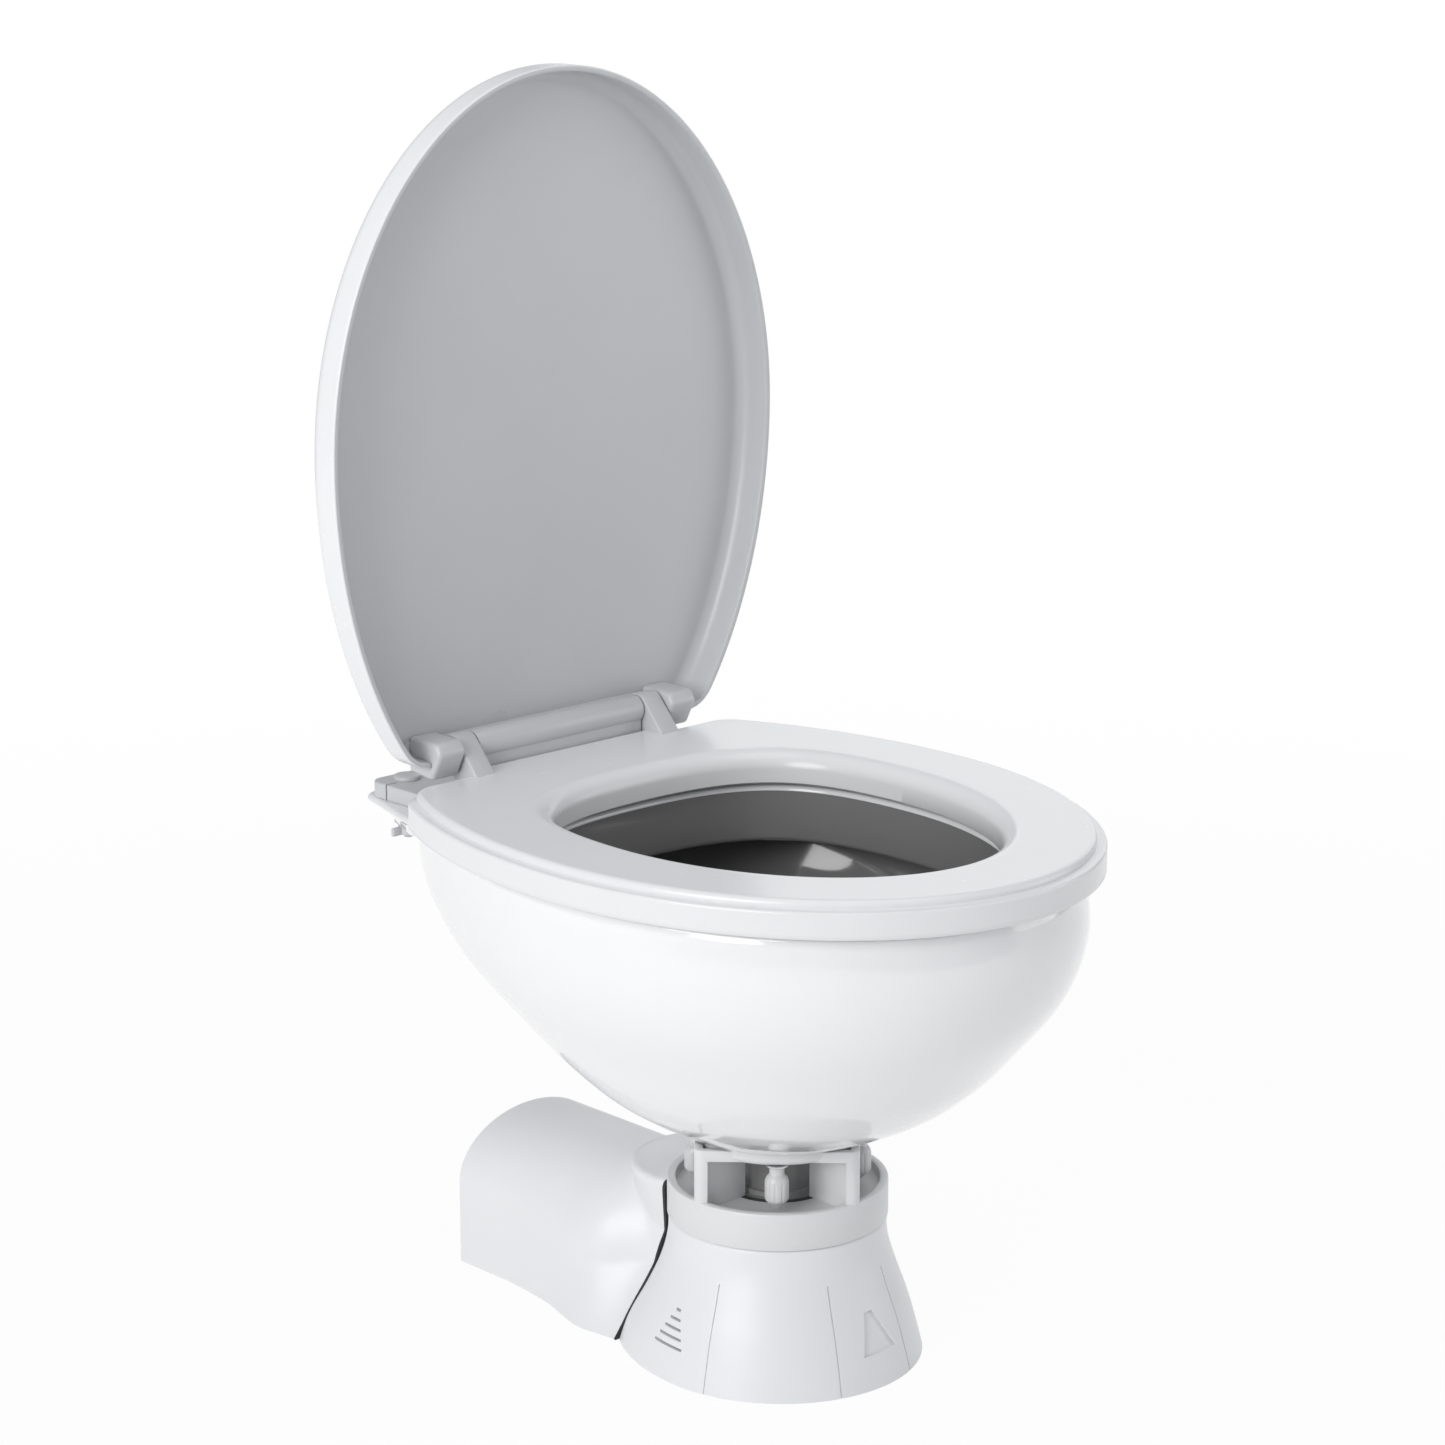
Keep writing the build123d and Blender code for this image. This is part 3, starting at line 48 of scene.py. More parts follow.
def fullTurn(count):
    return np.linspace(0, 2 * np.pi, count, endpoint=False)


def eggOutline(half, front, rear, midY, count=720):
    turn = fullTurn(count)
    reach = np.where(np.sin(turn) < 0, midY - front, rear - midY)
    return np.c_[half * np.cos(turn), midY + reach * np.sin(turn)]


def bezierPoints(points, count):
    t = np.linspace(0, 1, count)[:, None]
    a, b, c, d = (np.array(p, float) for p in points)
    return a * (1 - t) ** 3 + 3 * b * t * (1 - t) ** 2 + 3 * c * t * t * (1 - t) + d * t ** 3


def roundCorner(points, place, radius):
    # swaps the sharp corner at a place for a quadratic curve between the arc's tangent points
    n = len(points)
    corner = int(np.argmin(np.linalg.norm(points - place, axis=1)))
    before, after = points[(corner - 1) % n] - points[corner], points[(corner + 1) % n] - points[corner]
    cosine = np.dot(before, after) / (np.linalg.norm(before) * np.linalg.norm(after))
    reach = radius / math.tan(math.acos(np.clip(cosine, -1, 1)) / 2)

    def walk(step):
        i, left = corner, reach
        while True:
            j = (i + step) % n
            length = np.linalg.norm(points[j] - points[i])
            if length >= left:
                return j, points[i] + (points[j] - points[i]) * left / length
            left -= length
            i = j
    last, start = walk(-1)
    first, end = walk(1)
    t = np.linspace(0, 1, 16)[:, None]
    arc = start * (1 - t) ** 2 + 2 * points[corner] * t * (1 - t) + end * t * t
    kept = [points[(first + k) % n] for k in range((last - first) % n + 1)]
    return np.vstack([arc, kept])


def cutRear(points, y, radius):
    # cuts an outline off straight at y and rounds the two corners
    inside = points[points[:, 1] < y]
    start = int(np.argmax(np.abs(np.diff(np.vstack([inside, inside[:1]]), axis=0)).sum(1)))
    inside = np.roll(inside, -(start + 1), axis=0)
    right, left = inside[-1].copy(), inside[0].copy()
    right[1] = left[1] = y
    filled = np.vstack([inside, right, np.linspace(right, left, 40)[1:-1], left])
    return roundCorner(roundCorner(filled, left, radius), right, radius)


def roundedBox(half, front, rear, corner, steps=8):
    pts = []
    for cx, cy, start in ((half - corner, rear - corner, 0), (-half + corner, rear - corner, 90),
                          (-half + corner, front + corner, 180), (half - corner, front + corner, 270)):
        for a in np.radians(start + 90 * np.arange(steps + 1) / steps):
            pts.append((cx + corner * math.cos(a), cy + corner * math.sin(a)))
    return pts


def radiiAt(points, angles, centre):
    # how far an outline lies from its centre in each of the given directions
    d = points - centre
    a = np.unwrap(np.arctan2(d[:, 1], d[:, 0]))
    r = np.hypot(d[:, 0], d[:, 1])
    if a[-1] < a[0]:
        a, r = a[::-1], r[::-1]
    shifted = np.concatenate([a - 2 * np.pi, a, a + 2 * np.pi])
    return np.interp(angles, shifted, np.concatenate([r, r, r]))


def ringAt(angles, radii, centre):
    return np.c_[np.cos(angles) * radii, np.sin(angles) * radii] + centre


def rayRing(points, angles, centre):
    return ringAt(angles, radiiAt(points, angles, centre), centre)


def evenAngles(points, count, centre):
    # directions that step evenly along an outline
    closed = np.vstack([points, points[:1]])
    walked = np.concatenate([[0], np.cumsum(np.linalg.norm(np.diff(closed, axis=0), axis=1))])
    at = np.linspace(0, walked[-1], count, endpoint=False)
    spots = np.c_[np.interp(at, walked, closed[:, 0]), np.interp(at, walked, closed[:, 1])]
    return np.sort(np.arctan2(spots[:, 1] - centre[1], spots[:, 0] - centre[0]))


def offsetRing(points, distance):
    along = np.roll(points, -1, axis=0) - np.roll(points, 1, axis=0)
    normal = np.c_[along[:, 1], -along[:, 0]]
    normal /= np.linalg.norm(normal, axis=1)[:, None]
    return points + normal * distance


def lift(ring, z):
    return np.c_[ring, np.full(len(ring), float(z))]


def quarterTurn(steps):
    # a round edge's shares: how far it has come in, and how far it still lies below
    for k in range(steps + 1):
        turn = math.pi / 2 * k / steps
        yield 1 - math.cos(turn), 1 - math.sin(turn)


def roundOver(plan, inset, z, radius, steps):
    # the rings of a round top edge, where plan gives the ring at an inset and a height
    return [plan(inset + radius * out, z - radius * down) for out, down in quarterTurn(steps)]


def hermite(xs, ys, x):
    # a smooth curve through a table's rows
    xs, ys = np.array(xs, float), np.array(ys, float)
    slope = np.gradient(ys, xs)
    i = int(np.clip(np.searchsorted(xs, x) - 1, 0, len(xs) - 2))
    h = xs[i + 1] - xs[i]
    t = (x - xs[i]) / h
    return ((2 * t ** 3 - 3 * t ** 2 + 1) * ys[i] + (t ** 3 - 2 * t ** 2 + t) * h * slope[i]
            + (3 * t ** 2 - 2 * t ** 3) * ys[i + 1] + (t ** 3 - t ** 2) * h * slope[i + 1])


def sharesAt(rows, x):
    at, *columns = zip(*rows)
    return [hermite(at, column, x) for column in columns]


def newObject(name, data):
    obj = bpy.data.objects.new(name, data)
    scene.collection.objects.link(obj)
    return obj


def meshObject(name, bm):
    mesh = bpy.data.meshes.new(name)
    bm.to_mesh(mesh)
    bm.free()
    return newObject(name, mesh)


def finishMesh(obj, sharp=40, recalculate=True):
    bm = bmesh.new()
    bm.from_mesh(obj.data)
    bmesh.ops.remove_doubles(bm, verts=bm.verts, dist=1e-6)
    if recalculate:
        bmesh.ops.recalc_face_normals(bm, faces=bm.faces)
    for f in bm.faces:
        f.smooth = True
    # a modifier keeps the faces of a second material, the painted-shade one, only on a mesh that has slots;
    # dress sets the real ones
    if any(f.material_index for f in bm.faces) and not obj.data.materials:
        obj.data.materials.append(china)
        obj.data.materials.append(chinaInside)
    for e in bm.edges:
        e.smooth = not (len(e.link_faces) == 2 and e.calc_face_angle(0) > math.radians(sharp))
    bm.to_mesh(obj.data)
    bm.free()
    return obj


def addRings(bm, rings, closed, caps, paintedShadeFrom):
    # bands from the given ring number on take the second material, a darker copy of the first that paints
    # shade on the inside surfaces
    rows = [[bm.verts.new(Vector(p) * mm) for p in ring] for ring in rings]
    pairs = zip(rows, rows[1:] + rows[:1]) if closed else zip(rows, rows[1:])
    for number, (low, high) in enumerate(pairs):
        n = len(low)
        for i in range(n):
            j = (i + 1) % n
            face = bm.faces.new((low[i], low[j], high[j], high[i]))
            face.material_index = int(paintedShadeFrom is not None and number >= paintedShadeFrom)
    if caps:
        for row, slot in ((rows[0], 0), (rows[-1], int(paintedShadeFrom is not None))):
            middle = bm.verts.new(sum((v.co for v in row), Vector()) / len(row))
            for a, b in zip(row, row[1:] + row[:1]):
                bm.faces.new((a, b, middle)).material_index = slot


def ringObject(name, rings, closed=False, caps=False, sharp=40, paintedShadeFrom=None):
    bm = bmesh.new()
    addRings(bm, rings, closed, caps, paintedShadeFrom)
    return finishMesh(meshObject(name, bm), sharp)


def moved(x, y, z):
    return Matrix.Translation(Vector((x, y, z)) * mm)


def turned(degrees, axis):
    return Matrix.Rotation(math.radians(degrees), 4, axis)


def alongX(x, y, z):
    return moved(x, y, z) @ turned(90, "Y")


# a prism's outline goes into the YZ plane and its depth along X
sideways = Matrix(((0, 0, 1, 0), (1, 0, 0, 0), (0, 1, 0, 0), (0, 0, 0, 1)))
# a solid piece's profile keeps this far from its axis
axisGap = 0.01


def lathe(name, profile, place=Matrix(), steps=64, sharp=35):
    # spins an (r, z) profile about its own Z axis; place puts it in the frame
    rings = [lift(ringAt(fullTurn(steps), r, 0), z) for r, z in profile]
    obj = ringObject(name, rings, closed=True, sharp=sharp)
    obj.data.transform(place)
    obj.data.update()
    return obj


def tube(name, inner, outer, low, high, place=Matrix(), steps=64):
    return lathe(name, [(inner, low), (outer, low), (outer, high), (inner, high)], place, steps)


def rod(name, radius, low, high, place=Matrix(), steps=64):
    return tube(name, axisGap, radius, low, high, place, steps)


def applyModifiers(obj):
    deps = bpy.context.evaluated_depsgraph_get()
    deps.update()
    mesh = bpy.data.meshes.new_from_object(obj.evaluated_get(deps), depsgraph=deps)
    obj.modifiers.clear()
    obj.data = mesh
    mesh.name = obj.name
    return obj


def cutWith(obj, cutters):
    for cutter in cutters:
        m = obj.modifiers.new("cut", "BOOLEAN")
        m.operation, m.solver, m.object = "DIFFERENCE", "EXACT", cutter
    applyModifiers(obj)
    for cutter in cutters:
        bpy.data.objects.remove(cutter)
    return obj


def joinAll(name, objs):
    bm = bmesh.new()
    for o in objs:
        bm.from_mesh(o.data)
        bpy.data.objects.remove(o)
    return meshObject(name, bm)


def prism(name, outline, low, high, place=Matrix()):
    # a closed prism over an (x, y) outline, from low to high along Z
    bm = bmesh.new()
    bottom, top = ([bm.verts.new((x * mm, y * mm, z * mm)) for x, y in outline] for z in (low, high))
    bm.faces.new(bottom[::-1])
    bm.faces.new(top)
    n = len(bottom)
    for i in range(n):
        bm.faces.new((bottom[i], bottom[(i + 1) % n], top[(i + 1) % n], top[i]))
    bmesh.ops.recalc_face_normals(bm, faces=bm.faces)
    obj = meshObject(name, bm)
    obj.data.transform(place)
    return obj


def boxPiece(name, low, high):
    corners = [(low[0], low[1]), (high[0], low[1]), (high[0], high[1]), (low[0], high[1])]
    return prism(name, corners, low[2], high[2])


def bevelEdges(obj, width, segments=3, angle=30):
    m = obj.modifiers.new("round", "BEVEL")
    m.width, m.segments, m.limit_method, m.angle_limit = width * mm, segments, "ANGLE", math.radians(angle)
    m.harden_normals = False
    return applyModifiers(obj)


def onSide(side, near, far):
    return sorted((side * near, side * far))


# puts every face in the second slot, the material that paints shade on the piece
def inPaintedShadeSlot(obj):
    for p in obj.data.polygons:
        p.material_index = 1
    return obj


class Wire:
    # one output socket; arithmetic on it adds Math nodes to its tree
    def __init__(self, kit, socket):
        self.kit, self.socket = kit, socket

    def __add__(self, other):
        return self.kit.maths("ADD", self, other)

    def __radd__(self, other):
        return self.kit.maths("ADD", other, self)

    def __sub__(self, other):
        return self.kit.maths("SUBTRACT", self, other)

    def __rsub__(self, other):
        return self.kit.maths("SUBTRACT", other, self)

    def __mul__(self, other):
        return self.kit.maths("MULTIPLY", self, other)

    def __rmul__(self, other):
        return self.kit.maths("MULTIPLY", other, self)

    def smooth(self, low, high):
        return self.kit.node("ShaderNodeMapRange", {"interpolation_type": "SMOOTHSTEP"},
                             {0: self, 1: low, 2: high})


class NodeKit:
    # adds nodes to one tree
    def __init__(self, tree):
        self.tree, self.column = tree, 0

    def feed(self, socket, value):
        if isinstance(value, Wire):
            self.tree.links.new(value.socket, socket)
        else:
            socket.default_value = value

    def node(self, kind, settings=None, inputs=None, output=0):
        # any node: its settings first, then the values or links of its sockets
        n = self.tree.nodes.new(kind)
        self.column += 1
        n.location = (-220 * self.column, -120 * (self.column % 5))
        for key, value in (settings or {}).items():
            setattr(n, key, value)
        for key, value in (inputs or {}).items():
            self.feed(n.inputs[key], value)
        return Wire(self, n.outputs[output])

    def maths(self, operation, a, b):
        return self.node("ShaderNodeMath", {"operation": operation}, {0: a, 1: b})

    def rays(self, *names):
        return [self.node("ShaderNodeLightPath", output="Is " + name + " Ray") for name in names]


class MaterialKit(NodeKit):
    def __init__(self, name):
        self.material = bpy.data.materials.new(name)
        self.material.use_nodes = True
        super().__init__(self.material.node_tree)
        self.shader = next(n for n in self.tree.nodes if n.type == "BSDF_PRINCIPLED")

    def place(self):
        return self.node("ShaderNodeTexCoord", output="Object")

    def noise(self, scale, detail=3, roughness=0.5, where=None):
        return self.node("ShaderNodeTexNoise", {}, {
            "Vector": where or self.place(), "Scale": scale, "Detail": detail, "Roughness": roughness})

    def mixColour(self, factor, a, b):
        return self.node("ShaderNodeMix", {"data_type": "RGBA"},
                         {"Factor": factor, 6: (*a, 1), 7: (*b, 1)}, output=2)

    def bump(self, height, strength, distance):
        return self.node("ShaderNodeBump", {}, {
            "Height": height, "Strength": strength, "Distance": distance * mm})

    def set(self, **sockets):
        for key, value in sockets.items():
            self.feed(self.shader.inputs[key.replace("_", " ")], value)
        return self.material


def grey(value, tint=0.0):
    return (value, value + tint / 2, value + tint)


def glazedChina(name, shade, colour):
    kit = MaterialKit(name)
    cloud = kit.noise(9, 2)
    ripple = kit.noise(55, 2)
    return kit.set(Base_Color=kit.mixColour(cloud, shade, colour),
                   Roughness=0.07 + cloud * 0.05, Coat_Weight=0.6, Coat_Roughness=0.04,
                   Normal=kit.bump(ripple, 0.25, 0.12))


def mouldedPlastic(name, colour, shade, rough, grain, scale=900):
    kit = MaterialKit(name)
    cloud = kit.noise(14, 3)
    speck = kit.noise(scale, 2, 0.6)
    scuff = kit.noise(120, 4, 0.7).smooth(0.58, 0.75)
    return kit.set(Base_Color=kit.mixColour(cloud, shade, colour),
                   Roughness=rough + cloud * 0.06 + scuff * 0.05,
                   Normal=kit.bump(speck, 0.3, grain))


def rubber(name, colour):
    kit = MaterialKit(name)
    dust = kit.noise(160, 4, 0.65).smooth(0.5, 0.8)
    return kit.set(Base_Color=kit.mixColour(dust, colour, tuple(c + 0.03 for c in colour)),
                   Roughness=0.55 + dust * 0.2, Normal=kit.bump(kit.noise(700, 2), 0.3, 0.05))


def satinSteel(name, axis):
    # brushed along one axis: 0 is X, 1 is Y, 2 is Z
    kit = MaterialKit(name)
    stretch = [900.0, 900.0, 900.0]
    stretch[axis] = 30.0
    where = kit.node("ShaderNodeMapping", {}, {"Vector": kit.place(), "Scale": stretch})
    streak = kit.noise(1.0, 3, 0.6, where)
    return kit.set(Base_Color=kit.mixColour(streak, (0.55, 0.56, 0.57), (0.68, 0.68, 0.69)), Metallic=1.0,
                   Roughness=0.24 + streak * 0.14, Normal=kit.bump(streak, 0.15, 0.02))


def paintedSteel():
    kit = MaterialKit("paintedSteel")
    peel = kit.noise(420, 2)
    worn = kit.noise(60, 5, 0.7).smooth(0.62, 0.74)
    return kit.set(Base_Color=kit.mixColour(worn, (0.035, 0.036, 0.04), (0.09, 0.09, 0.095)),
                   Roughness=0.36 + worn * 0.2, Normal=kit.bump(peel, 0.2, 0.05))


def darkIron():
    kit = MaterialKit("darkIron")
    grain = kit.noise(600, 4, 0.7)
    return kit.set(Base_Color=kit.mixColour(grain, (0.05, 0.05, 0.055), (0.13, 0.13, 0.14)),
                   Metallic=0.6, Roughness=0.5 + grain * 0.2, Normal=kit.bump(grain, 0.4, 0.06))


china = glazedChina("glazedChina", grey(0.86, 0.01), (0.895, 0.9, 0.9))
# the bowl's inside: the same glaze made dark grey, painted shade for the shadow inside the bowl
chinaInside = glazedChina("chinaInside", grey(0.22), grey(0.25))
seatPlastic = mouldedPlastic("seatPlastic", grey(0.82, 0.01), grey(0.79, 0.01), 0.20, 0.02)
lidPlastic = mouldedPlastic("lidPlastic", grey(0.86, 0.01), grey(0.83, 0.01), 0.22, 0.02)
# the lid's inside and its lugs: a greyer copy of the lid's plastic, painted shade
lidInside = mouldedPlastic("lidInside", grey(0.61, 0.02), grey(0.57, 0.02), 0.26, 0.02)
hingePlastic = mouldedPlastic("hingePlastic", (0.60, 0.605, 0.615), (0.56, 0.565, 0.575), 0.30, 0.03)
shroudPlastic = mouldedPlastic("shroudPlastic", grey(0.83, 0.01), (0.80, 0.805, 0.815), 0.34, 0.04)
supportPlastic = mouldedPlastic("supportPlastic", grey(0.75, 0.01), grey(0.72, 0.01), 0.36, 0.04)
nutPlastic = mouldedPlastic("nutPlastic", grey(0.66, 0.01), grey(0.62, 0.01), 0.25, 0.02)
pumpPlastic = mouldedPlastic("pumpPlastic", (0.035, 0.035, 0.037), grey(0.05), 0.45, 0.08, 500)
inletPlastic = mouldedPlastic("inletPlastic", (0.74, 0.74, 0.73), (0.70, 0.70, 0.69), 0.35, 0.03)
softGrey = rubber("softGrey", (0.62, 0.62, 0.60))
# the outlet seal's rubber made dark, painted shade for the shadowed inside of the tower's window
sealGrey = rubber("sealGrey", grey(0.26))
blackRubber = rubber("blackRubber", (0.012, 0.012, 0.013))
steelUp = satinSteel("steelUp", 2)
steelAlongY = satinSteel("steelAlongY", 1)
steelAcross = satinSteel("steelAcross", 0)
paint = paintedSteel()
iron = darkIron()
print("materials made")

nodeFinish = [
    (china, "bowl"), (seatPlastic, "seat"), (lidPlastic, "lid"), (sealGrey, "outlet_seal"),
    (hingePlastic, "hinge_base hinge_bolts hinge_wing_nuts"), (softGrey, "hinge_washers seat_buffers"),
    (nutPlastic, "bowl_nuts"), (shroudPlastic, "bell_shroud motor_cover"),
    (supportPlastic, "bowl_support floor_plate"), (inletPlastic, "flush_inlet discharge_spigot"),
    (steelAcross, "hinge_pin"), (steelUp, "bowl_studs bowl_washers support_screws"),
    (steelAlongY, "cover_screws pump_screws drive_shaft chopper_blade cutter_plate"),
    (steelAlongY, "front_bearing rear_bearing"),
    (blackRubber, "cover_seal joker_valve shaft_seal inlet_grommet"),
    (pumpPlastic, "pump_housing pump_back_plate impeller discharge_pipe motor_end_cap cable_gland"),
    (paint, "motor_can motor_cradle"), (iron, "motor_magnets armature"),
]
for material, names in nodeFinish:
    for name in names.split():
        slots = cadNodes[name].data.materials
        slots.clear()
        slots.append(material)


def dress(obj, finish, body, *nodes):
    # a finished piece: its one or two materials, the body it rides on and the nodes it stands for
    finish = finish if isinstance(finish, tuple) else (finish,)
    slots = [min(p.material_index, len(finish) - 1) for p in obj.data.polygons]
    obj.data.materials.clear()
    for material in finish:
        obj.data.materials.append(material)
    obj.data.polygons.foreach_set("material_index", slots)
    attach(obj, body)
    if nodes:
        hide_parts(*nodes)
    return obj


# the opening that the bowl and the seat share, and the pin that the seat and the lid turn on
throatSize = {"half": 107.5, "front": 144.5, "rear": 106.5, "y": 8.0, "handle": 0.76, "rayY": 10.0}
pinAt = (0, 188.0, 328.4)


def throatRing(angles, margin, z):
    s = throatSize
    half, rear, y, k = s["half"] + margin, s["rear"] + margin, s["y"], s["handle"]
    right = bezierPoints([(half, y), (half, y + k * rear), (k * half, y + rear), (0, y + rear)], 180)
    left = right[::-1] * (-1, 1)
    turn = np.linspace(np.pi, 2 * np.pi, 361)[:-1]
    front = np.c_[half * np.cos(turn), y + (s["front"] + margin) * np.sin(turn)]
    outline = np.vstack([right[:-1], left[:-1], front])
    return lift(rayRing(outline, angles, np.array((0, s["rayY"]))), z)


bowlSize = {
    "foot": 134.0, "rim": 294.0, "half": 154.3, "front": 182.3, "rear": 250.0, "widestY": 14.0,
    "rimRound": 3.0, "wall": 9.0, "floor": 14.0, "rimPlate": 10.0, "cavityRear": 200.0,
    "margin": 5.0, "lipDepth": 34.0, "lipWall": 6.0, "lipRound": 3.0, "lipStraight": 14.0,
    "deckCorners": [(132.4, 120), (94.3, 249.7)], "deckRound": 12.0, "deckLow": 279.0, "deckDraft": 10.4,
    "deckSlope": 0.16, "deckPivot": 228.0, "deckBlend": 6.0, "deckSoft": [(0, 1.6), (0.25, 0.7), (0.9, 0.1)],
    "spigot": 20.5, "bore": 16.5, "spigotLength": 40.0, "sump": 34.0,
    "bossY": 214.0, "boss": 17.0, "bossBore": 10.1, "bossLow": 212.0, "bossTop": 256.0, "bossSoft": 1.5,
    # share of the height, then shares of the half width, the front and the rear
    "rows": [(0, .355, .300, .226), (.05, .448, .404, .288), (.13, .578, .543, .392),
             (.256, .714, .690, .532), (.4125, .833, .820, .694), (.6, .955, .952, .858),
             (.8, 1.012, 1.014, .962), (1, 1, 1, 1)],
    "footShare": 0.12, "rays": 600,
}


def dishPlan(share, wall=0.0, rear=bowlSize["rear"]):
    # the dish's outline and centre at a share of its height
    s = bowlSize
    wide, fore, aft = sharesAt(s["rows"], share)
    midY = s["widestY"] * wide
    egg = eggOutline((s["half"] - wall) * wide, (wall - s["front"]) * fore, rear * aft, midY)
    return egg, np.array((0, midY))


def deckRadii(angles, inset, centre):
    # how far the deck's sides and rear lie from the ring's centre
    s = bowlSize
    (fx, fy), (rx, ry) = s["deckCorners"]
    right = [(fx - inset, fy), (rx - inset, ry - inset)]
    corners = np.array(right + [(-x, y) for x, y in right[::-1]], float)
    deck = np.vstack([np.linspace(a, b, 60, endpoint=False)
                      for a, b in zip(corners, np.roll(corners, -1, axis=0))])
    for corner in corners[1:3]:
        deck = roundCorner(deck, corner, s["deckRound"])
    d = deck[deck[:, 1] > fy + 0.01] - centre
    a = np.arctan2(d[:, 1], d[:, 0])
    order = np.argsort(a)
    return np.interp(angles, a[order], np.hypot(d[:, 0], d[:, 1])[order], left=0, right=0)


def makeBowl():
    s = bowlSize
    foot, rim, low = s["foot"], s["rim"], s["deckLow"]
    height = rim - foot

    def rimOutline(angles):
        egg, mid = dishPlan(1)
        return ringAt(angles, np.maximum(radiiAt(egg, angles, mid), deckRadii(angles, 0, mid)), mid)

    def dishRing(z):
        egg, mid = dishPlan((z - foot) / height)
        return lift(rayRing(egg, angles, mid), z)

    def deckRing(z, more=0.0):
        # a ring of dish and deck together; towards the front the deck's side grows deeper
        share = (rim - z) / (rim - low)
        egg, mid = dishPlan((z - foot) / height)
        own = radiiAt(egg, angles, mid)
        deck = deckRadii(angles, s["deckDraft"] * share + more, mid)
        ring = lift(ringAt(angles, np.maximum(own, deck), mid), z)
        beyond = np.clip((deck - own) / s["deckBlend"], 0, 1)
        ring[:, 2] -= beyond * share * s["deckSlope"] * (s["deckPivot"] - ring[:, 1])
        return ring

    probe = np.linspace(-np.pi, np.pi, 2880, endpoint=False)
    angles = evenAngles(rimOutline(probe), s["rays"], dishPlan(1)[1])
    # the outside, from the foot up to the deck's underside, its sloping sides and the rim's round edge
    turnsOut = foot + height * s["footShare"]
    rings = [dishRing(z) for z in (*np.linspace(foot, turnsOut, 12)[:-1], *np.linspace(turnsOut, low, 42))]
    rings += [deckRing(low + up, more) for up, more in s["deckSoft"]]
    rings += [deckRing(z) for z in np.linspace(low + 3, rim - s["rimRound"] - 1, 5)]
    edge = rimOutline(angles)
    rings += roundOver(lambda inset, z: lift(offsetRing(edge, -inset), z), 0, rim, s["rimRound"], 8)
    # the rim's flat top, its opening and the flush lip
    def lip(margin, z):
        return throatRing(angles, s["margin"] + margin, z)
    soft, half = s["lipRound"], s["lipWall"] / 2
    flat, opening = lift(offsetRing(edge, -s["rimRound"]), rim), lip(soft, rim)
    rings += [flat * (1 - share) + opening * share for share in (0.25, 0.5, 0.75)]
    rings += roundOver(lip, 0, rim, soft, 6)[::-1]
    # from this ring on, the inside takes the second material, the painted shade
    inside = len(rings) - 1
    lipLow, under = rim - s["lipDepth"], rim - s["rimPlate"]
    rings.append(lip(0, lipLow + s["lipStraight"]))
    rings += [lip(half - half * math.cos(turn), lipLow + half - half * math.sin(turn))
              for turn in np.linspace(0, np.pi, 9)]
    rings += [lip(s["lipWall"] + more, under - soft + more) for more in (0, soft)]
    # the inside, from the rim down to the sump and the outlet
    floor = foot + s["floor"]
    for share in (*np.linspace(1, 0.1, 40), 0.06, 0.03, 0.01):
        egg, mid = dishPlan(share, s["wall"], s["cavityRear"])
        rings.append(lift(rayRing(egg, angles, mid), floor + (under - floor) * share))
    sump, bore, spigot, end = s["sump"], s["bore"], s["spigot"], foot - s["spigotLength"]
    for r, z in ((sump + 2, floor + 0.4), (sump - 2, floor - 1), (bore + 3, foot + 2.5), (bore, foot - 1),
                 (bore, end), (spigot, end), (spigot, foot - 1.5), (spigot + 1.5, foot)):
        rings.append(lift(ringAt(angles, r, 0), z))
    bowl = ringObject("bowlBody", rings, closed=True, sharp=50, paintedShadeFrom=inside)
    bore, r, low, top, soft = s["bossBore"], s["boss"], s["bossLow"], s["bossTop"], s["bossSoft"]
    profile = [(bore, top), (bore, low), (r - soft, low), (r, low + soft), (r, top)]
    return joinAll("bowlChina", [bowl, lathe("inletBoss", profile, moved(0, s["bossY"], 0))])


dress(makeBowl(), (china, chinaInside), "root", "bowl")
print("bowl made")


seatSize = {
    "half": 165.0, "front": 207.0, "rear": 243.0, "widestY": 14.0, "rearY": 169.0,
    "low": 296.5, "band": 311.3, "top": 316.0, "step": 5.4, "bandRound": 1.5, "slabRound": 3.2,
    "corner": 10.0, "throatRound": 10.5, "skin": 4.0, "foot": 4.0, "footSoft": 0.8, "rays": 420,
    "tongueHalf": 72.0, "tongueY": 181.0, "tongueLow": 305.0, "tongueRoot": 12.0, "tongueSoft": 1.2,
    "armRadius": 8.8, "armInner": 64.5, "armWidth": 14.0, "armRoot": 16.0, "armBore": 3.3, "armSoft": 1.0,
    "cutMore": 13.0,
}


def seatOutline(inset):
    s = seatSize
    egg = eggOutline(s["half"] - inset, s["widestY"] - s["front"] + inset,
                     s["widestY"] + s["rear"] - inset, s["widestY"])
    return cutRear(egg, s["rearY"], s["corner"])


